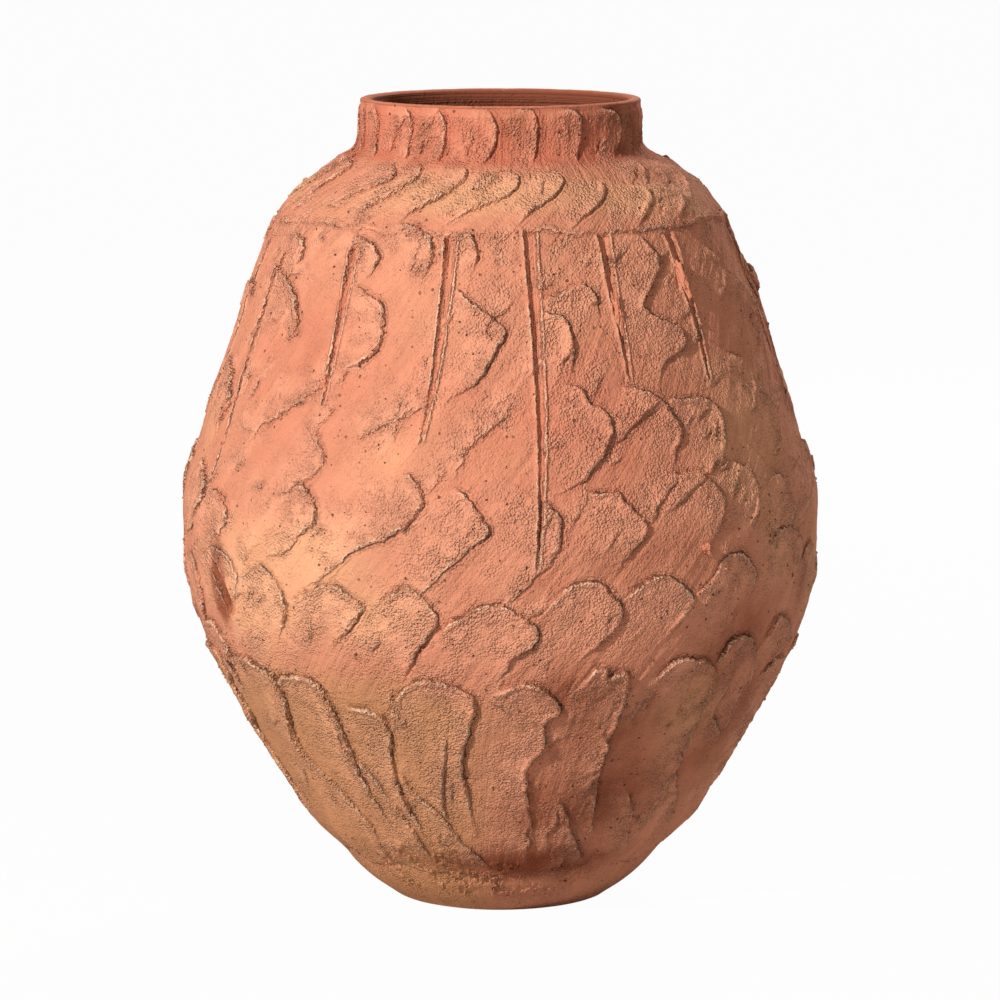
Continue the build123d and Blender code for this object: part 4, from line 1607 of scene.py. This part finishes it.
@dataclass(frozen=True)
class ClayFinish:
    """One finish of the jar's clay.

    Args:
        name: The material's name.
        base: The clay's own colour where no bloom lies.
        grit: How gritty the smooth clay is.
        grain_depth: The depth of the grain, millimetres.
        rough: How matt it is.
        sheen: How much light its surface mirrors.
    """

    name: str
    base: tuple[int, int, int]
    grit: float = 0.28
    grain_depth: float = 2.45
    rough: float = 0.93
    sheen: float = 0.18

    def make(self, groups: ClayGroups) -> bpy.types.Material:
        """The material, built from the shared groups.

        Args:
            groups: The shader groups.

        Returns:
            The material.
        """
        material = bpy.data.materials.new(self.name)
        material.use_nodes = True
        tree = NodeTree(material.node_tree)
        colours, detail = FiringColours(), ClayDetail()
        place = tree.add("ShaderNodeTexCoord").outputs["Object"]

        def mark(name: str, output: str = "Fac") -> bpy.types.NodeSocket:
            """One of the wall's marks."""
            return tree.add("ShaderNodeAttribute", {"attribute_name": name}).outputs[output]

        firing = tree.add("ShaderNodeGroup", {"node_tree": groups.firing}, Place=place,
                          Clay=linear(self.base), Buff=mark(Bloom.BUFF.value), Tan=mark(Bloom.TAN.value),
                          Red=mark(Bloom.RED.value), Blush=mark(Bloom.BLUSH.value))
        pad = mark("pad")
        grit = tree.math("MULTIPLY_ADD", pad, 0.75, self.grit)
        grit = tree.math("MULTIPLY_ADD", mark("crumb"), 0.5, grit)
        grain = tree.add("ShaderNodeGroup", {"node_tree": groups.grain}, Place=place, Grit=grit)
        edge = tree.add("ShaderNodeGroup", {"node_tree": groups.torn_edge}, Place=place,
                        Distance=mark("edge"), Strength=mark("edge_strength"))
        smear = tree.math("SUBTRACT", 1.0, tree.math("MULTIPLY", pad, 0.7))
        drag = tree.add("ShaderNodeGroup", {"node_tree": groups.drag_marks}, Along=mark("drag", "Vector"),
                        Amount=smear)

        colour = firing.outputs["Color"]
        colour = tree.mix(tree.math("MULTIPLY", pad, detail.pad), colour, linear(colours.pad))
        colour = tree.mix(tree.math("MULTIPLY", tree.math("SUBTRACT", 1.0, pad), detail.smear), colour,
                          linear(colours.smear), "MULTIPLY")
        tone = tree.remap(drag.outputs["Tone"], -0.25, 0.25, 0.88, 1.12, False)
        colour = tree.mix(1.0, colour, self.grey(tree, tone), "MULTIPLY")
        speck = tree.remap(grain.outputs["Speckle"], -0.5, 0.5, 0.88, 1.14, False)
        colour = tree.mix(1.0, colour, self.grey(tree, speck), "MULTIPLY")
        # Painted highlight on the crests; painted shade in the pits and below the torn edges, where the crack
        # is partly real.
        for marks, label, weight, tone in ((edge, "Crest", detail.crest, colours.crest_highlight),
                                           (grain, "PitShade", detail.pits, colours.shade),
                                           (edge, "CrackAndShade", detail.crack, colours.shade)):
            colour = tree.mix(tree.math("MULTIPLY", marks.outputs[label], weight), colour, linear(tone))

        # The inside is darkened towards the throat colour as painted shade; its thrown lines are the clay's
        # own.
        inside = mark("inside")
        lines = tree.add("ShaderNodeTexNoise", {"noise_dimensions": "1D"}, Scale=230.0, Detail=2.0,
                         W=tree.add("ShaderNodeSeparateXYZ", i0=place).outputs["Z"])
        thrown = tree.math("MULTIPLY", tree.math("SUBTRACT", lines.outputs["Fac"], 0.5), inside)
        colour = tree.mix(tree.math("MULTIPLY", inside, detail.throat_shade), colour, linear(colours.throat_shade))
        rings = tree.math("MULTIPLY_ADD", thrown, detail.thrown_tone, 1.0)
        colour = tree.mix(1.0, colour, self.grey(tree, rings), "MULTIPLY")

        grains = tree.math("MULTIPLY", grain.outputs["Height"], self.grain_depth)
        height = tree.math("ADD", grains, tree.math("MULTIPLY", edge.outputs["Height"], detail.step_height))
        crack = tree.math("MULTIPLY", edge.outputs["CrackAndShade"], detail.crack_depth)
        height = tree.math("SUBTRACT", height, crack)
        height = tree.math("MULTIPLY_ADD", edge.outputs["Crest"], detail.crest_height, height)
        height = tree.math("ADD", height, tree.math("MULTIPLY", drag.outputs["Height"], detail.drag_depth))
        height = tree.math("MULTIPLY_ADD", thrown, detail.thrown_depth, height)
        bump = tree.add("ShaderNodeBump", Strength=1.0, Distance=MM, Height=height)
        shader = tree.add("ShaderNodeBsdfPrincipled", Base_Color=colour, Roughness=self.rough,
                          Normal=bump.outputs[0])
        shader.inputs["Specular IOR Level"].default_value = self.sheen
        tree.add("ShaderNodeOutputMaterial", Surface=shader.outputs[0])
        return material

    @staticmethod
    def grey(tree: NodeTree, value: bpy.types.NodeSocket) -> bpy.types.NodeSocket:
        """A number as a grey that colours can be multiplied by."""
        return tree.add("ShaderNodeCombineColor", i0=value, i1=value, i2=value).outputs[0]


FINISHES: dict[Slot, ClayFinish] = {
    Slot.BODY: ClayFinish("body_clay", (223, 149, 117)),
    Slot.BUFF: ClayFinish("buff_clay", (223, 149, 117)),
    Slot.TAN: ClayFinish("tan_clay", (223, 149, 117), grit=0.34),
    Slot.HEEL: ClayFinish("heel_clay", (223, 149, 117), grit=0.34),
    Slot.RIM: ClayFinish("rim_clay", (214, 132, 100), grit=0.2, grain_depth=1.0),
}


class GritTree:
    """A geometry tree that strews torn crumbs over a piece of wall where its crumb mark is high."""

    def __init__(self, material: bpy.types.Material) -> None:
        """Builds the tree once.

        Args:
            material: The crumbs' material.
        """
        self.tree = bpy.data.node_groups.new("strewn_grit", "GeometryNodeTree")
        face = self.tree.interface
        face.new_socket("Wall", in_out="INPUT", socket_type="NodeSocketGeometry")
        sizes = {"Per square metre": 12000.0, "Least size": 0.0005, "Greatest size": 0.0019}
        for label, value in sizes.items():
            socket = face.new_socket(label, in_out="INPUT", socket_type="NodeSocketFloat")
            socket.default_value = value
        socket = face.new_socket("Seed", in_out="INPUT", socket_type="NodeSocketInt")
        socket.default_value = 7
        face.new_socket("Grit", in_out="OUTPUT", socket_type="NodeSocketGeometry")
        kit = NodeTree(self.tree)
        source, sink = kit.add("NodeGroupInput"), kit.add("NodeGroupOutput")
        mark = kit.add("GeometryNodeInputNamedAttribute", {"data_type": "FLOAT"}, Name="crumb")
        kept = kit.math("POWER", mark.outputs[0], 1.6)
        density = kit.math("MULTIPLY", kept, source.outputs["Per square metre"])
        spread = kit.add("GeometryNodeDistributePointsOnFaces", {"distribute_method": "RANDOM"},
                         Mesh=source.outputs["Wall"], Density=density, Seed=source.outputs["Seed"])
        crumb = kit.add("GeometryNodeMeshIcoSphere", Radius=1.0, Subdivisions=1)
        size = kit.add("FunctionNodeRandomValue", {"data_type": "FLOAT"}, Seed=source.outputs["Seed"])
        self.tree.links.new(source.outputs["Least size"], size.inputs[2])
        self.tree.links.new(source.outputs["Greatest size"], size.inputs[3])
        skew = kit.add("FunctionNodeRandomValue", {"data_type": "FLOAT_VECTOR"}, Seed=3)
        skew.inputs[0].default_value, skew.inputs[1].default_value = (0.6, 0.6, 0.5), (1.25, 1.25, 1.0)
        scale = kit.add("ShaderNodeVectorMath", {"operation": "SCALE"})
        self.tree.links.new(skew.outputs[0], scale.inputs[0])
        self.tree.links.new(size.outputs[1], scale.inputs["Scale"])
        turn = kit.add("FunctionNodeRandomValue", {"data_type": "FLOAT_VECTOR"}, Seed=5)
        turn.inputs[1].default_value = (FULL_TURN, FULL_TURN, FULL_TURN)
        placed = kit.add("GeometryNodeInstanceOnPoints", Points=spread.outputs["Points"],
                         Instance=crumb.outputs["Mesh"], Scale=scale.outputs[0])
        self.tree.links.new(turn.outputs[0], placed.inputs["Rotation"])
        real = kit.add("GeometryNodeRealizeInstances", Geometry=placed.outputs[0])
        finish = kit.add("GeometryNodeSetMaterial", Geometry=real.outputs[0], Material=material)
        self.tree.links.new(finish.outputs[0], sink.inputs["Grit"])

    def strew(self, host: bpy.types.Object, name: str, seed: int,
              per_square_metre: float) -> bpy.types.Object:
        """Strews crumbs over a piece of wall.

        Args:
            host: The piece of wall.
            name: The name of the crumbs' own piece.
            seed: The seed of their places.
            per_square_metre: How many lie on a square metre where the mark is full.

        Returns:
            The crumbs as one plain piece.
        """
        carrier = add_object(name, host.data.copy())
        modifier = carrier.modifiers.new("strewn_grit", "NODES")
        modifier.node_group = self.tree
        values = {"Seed": seed, "Per square metre": per_square_metre}
        for item in self.tree.interface.items_tree:
            if item.item_type == "SOCKET" and item.in_out == "INPUT" and item.name in values:
                modifier[item.identifier] = values[item.name]
        bpy.context.view_layer.update()
        evaluated = carrier.evaluated_get(bpy.context.evaluated_depsgraph_get())
        mesh = bpy.data.meshes.new_from_object(evaluated)
        mesh.name = name
        mesh.attributes.remove(mesh.attributes["edge_strength"])
        carrier.modifiers.remove(modifier)
        carrier.data = mesh
        return carrier


GROOVE_CLAY: tuple[GrooveClay, ...] = (
    GrooveClay("groove_clay_left", (618, 311), 40, 11, 6.0, 5.0, 3),
    GrooveClay("groove_clay_right", (680, 278), 52, 12, 6.5, 6.0, 8),
    GrooveClay("clay_pellet", (705, 548), 15, 13, 8.5, 0.0, 5),
)


@dataclass
class Pithos:
    """The whole jar over its CAD frame.

    Args:
        view: Where the photograph was taken from.
        joints: The heights at which the rings meet, metres, from the floor up.
        bands: How many rows of cells each ring has.
        shells: The rings between the foot and the rim.
        grit_density: How many crumbs lie on a square metre where their mark is full.
        grit_seed: What each ring's number is multiplied by for the seed of its crumbs.
    """

    view: Viewpoint
    joints: tuple[float, ...] = (0.0, 0.030, 0.170, 0.318, 0.430, 0.590, 0.770, 0.838, 0.888, 0.897)
    bands: tuple[int, ...] = (24, 80, 80, 58, 84, 84, 56, 34, 6)
    shells: tuple[ShellPlan, ...] = (
        ShellPlan("heel_wall", "heel_ring", 1, Slot.HEEL),
        ShellPlan("hip_wall", "hip_ring", 2, Slot.TAN),
        ShellPlan("belly_wall", "belly_ring", 3, Slot.BUFF),
        ShellPlan("middle_wall", "middle_ring", 4, Slot.BODY),
        ShellPlan("upper_wall", "upper_ring", 5, Slot.BODY),
        ShellPlan("shoulder_wall", "shoulder_ring", 6, Slot.BODY),
        ShellPlan("neck_wall", "neck_collar", 7, Slot.BODY),
    )
    grit_density: float = 12000.0
    grit_seed: int = 13

    def dress(self, piece: bpy.types.Object, material: bpy.types.Material, slot: Slot, *nodes: str) -> None:
        """Gives a piece its material and its place on the frame.

        Args:
            piece: The piece.
            material: Its material.
            slot: The record's slot of its finish. It is not used.
            nodes: The CAD nodes that it stands for.
        """
        piece.data.materials.clear()
        piece.data.materials.append(material)
        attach(piece, "root")
        if nodes:
            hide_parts(*nodes)
        LOG.info("%s: %d faces", piece.name, len(piece.data.polygons))

    def build(self) -> None:
        """Builds and dresses every piece."""
        wall = Wall(WallProfile(), self.view, self.joints, self.bands)
        wall.build()
        place, normal = wall.surface()
        groups = ClayGroups()
        materials = {slot: finish.make(groups) for slot, finish in FINISHES.items()}
        grit = GritTree(materials[Slot.BODY])
        for plan in self.shells:
            shell = RingShell(wall, plan).build(place, normal)
            self.dress(shell, materials[plan.slot], plan.slot, plan.node)
            name = plan.name.replace("wall", "grit")
            crumbs = grit.strew(shell, name, plan.band * self.grit_seed, self.grit_density)
            self.dress(crumbs, materials[plan.slot], plan.slot)
        foot = FootSlab(wall).build(place, normal)
        self.dress(foot, materials[Slot.HEEL], Slot.HEEL, "base_slab")
        rim = RimLip(wall).build(place, normal)
        self.dress(rim, materials[Slot.RIM], Slot.RIM, "rim_coil")
        lumps = [lump.build(wall) for lump in GROOVE_CLAY]
        self.dress(lumps[0], materials[Slot.BUFF], Slot.BUFF, "groove_lumps")
        for lump in lumps[1:]:
            self.dress(lump, materials[Slot.BUFF], Slot.BUFF)


@dataclass(frozen=True)
class Lamp:
    """One soft square light that faces the jar.

    Args:
        name: Its name.
        place: Where it hangs, metres.
        size: The length of its side, metres.
        power: Its power, watts.
    """

    name: str
    place: tuple[float, float, float]
    size: float
    power: float

    def hang(self, aim: tuple[float, float, float]) -> None:
        """Puts the light into the scene, turned towards the aim."""
        data = bpy.data.lights.new(self.name, "AREA")
        data.size, data.energy = self.size, self.power
        lamp = bpy.data.objects.new(self.name, data)
        lamp.location = self.place
        lamp.rotation_euler = (Vector(aim) - Vector(self.place)).to_track_quat("-Z", "Y").to_euler()
        bpy.context.scene.collection.objects.link(lamp)


@dataclass(frozen=True)
class Studio:
    """Plain soft studio light on a pale floor.

    Args:
        lamps: The light at the upper left, the weak one on the right, and the one behind the jar
            for the views of its far side.
        aim: The spot that they face, metres.
        sky: The strength of the even light all round.
        sky_colour: The colour of that light on the jar. The camera sees white.
        floor_reach: Half the floor's width, metres.
        floor_grey: The floor's grey for the light that it throws back.
        floor_white: The share of plain white in what the camera sees of it.
    """

    lamps: tuple[Lamp, ...] = (
        Lamp("key_light", (-3.05, -3.6, 2.95), 0.22, 270.0),
        Lamp("fill_light", (3.6, -3.2, 2.9), 0.7, 17.0),
        Lamp("back_light", (1.6, 4.6, 3.2), 0.5, 130.0),
    )
    aim: tuple[float, float, float] = (0.0, 0.0, 0.5)
    sky: float = 0.22
    sky_colour: tuple[float, float, float, float] = (1.0, 0.86, 0.76, 1.0)
    floor_reach: float = 60.0
    floor_grey: float = 0.6
    floor_white: float = 0.97

    @staticmethod
    def seen(tree: NodeTree) -> bpy.types.NodeSocket:
        """A number that is 1 for the rays that show the surroundings, and 0 for light on the jar."""
        path = tree.add("ShaderNodeLightPath")
        rays = tree.math("MAXIMUM", path.outputs["Is Camera Ray"], path.outputs["Is Glossy Ray"])
        return tree.math("MAXIMUM", rays, path.outputs["Is Transmission Ray"])

    def build(self) -> None:
        """Sets up the lights, the white surroundings and the floor."""
        for lamp in self.lamps:
            lamp.hang(self.aim)
        world = bpy.data.worlds.new("white_studio")
        bpy.context.scene.world = world
        world.use_nodes = True
        tree = NodeTree(world.node_tree)
        seen = self.seen(tree)
        strength = tree.remap(seen, 0, 1, self.sky, 1.0, False)
        tint = tree.mix(seen, self.sky_colour, (1, 1, 1, 1))
        sky = tree.add("ShaderNodeBackground", Color=tint, Strength=strength)
        tree.add("ShaderNodeOutputWorld", Surface=sky.outputs[0])
        self.lay_floor()

    def lay_floor(self) -> None:
        """Lays the floor, which keeps the jar's shadow and looks white."""
        reach = self.floor_reach
        mesh = bpy.data.meshes.new("studio_floor")
        mesh.from_pydata([(-reach, -reach, 0), (reach, -reach, 0), (reach, reach, 0), (-reach, reach, 0)],
                         [], [(0, 1, 2, 3)])
        material = bpy.data.materials.new("studio_floor")
        material.use_nodes = True
        tree = NodeTree(material.node_tree)
        share = tree.math("MULTIPLY", self.seen(tree), self.floor_white)
        plain = tree.add("ShaderNodeBsdfDiffuse", Color=(self.floor_grey,) * 3 + (1,))
        white = tree.add("ShaderNodeEmission", Color=(1, 1, 1, 1), Strength=1.0)
        both = tree.add("ShaderNodeMixShader", i0=share, i1=plain.outputs[0], i2=white.outputs[0])
        tree.add("ShaderNodeOutputMaterial", Surface=both.outputs[0])
        mesh.materials.append(material)
        add_object("studio_floor", mesh)


def main() -> None:
    """Builds the camera, the jar and the studio, and notes the sizes."""
    logging.basicConfig(level=logging.INFO, format="%(name)s: %(message)s")
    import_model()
    view = Viewpoint()
    view.make_camera()
    Pithos(view).build()
    Studio().build()
    bpy.context.scene.view_settings.view_transform = "Standard"


if __name__ == "__main__":
    main()
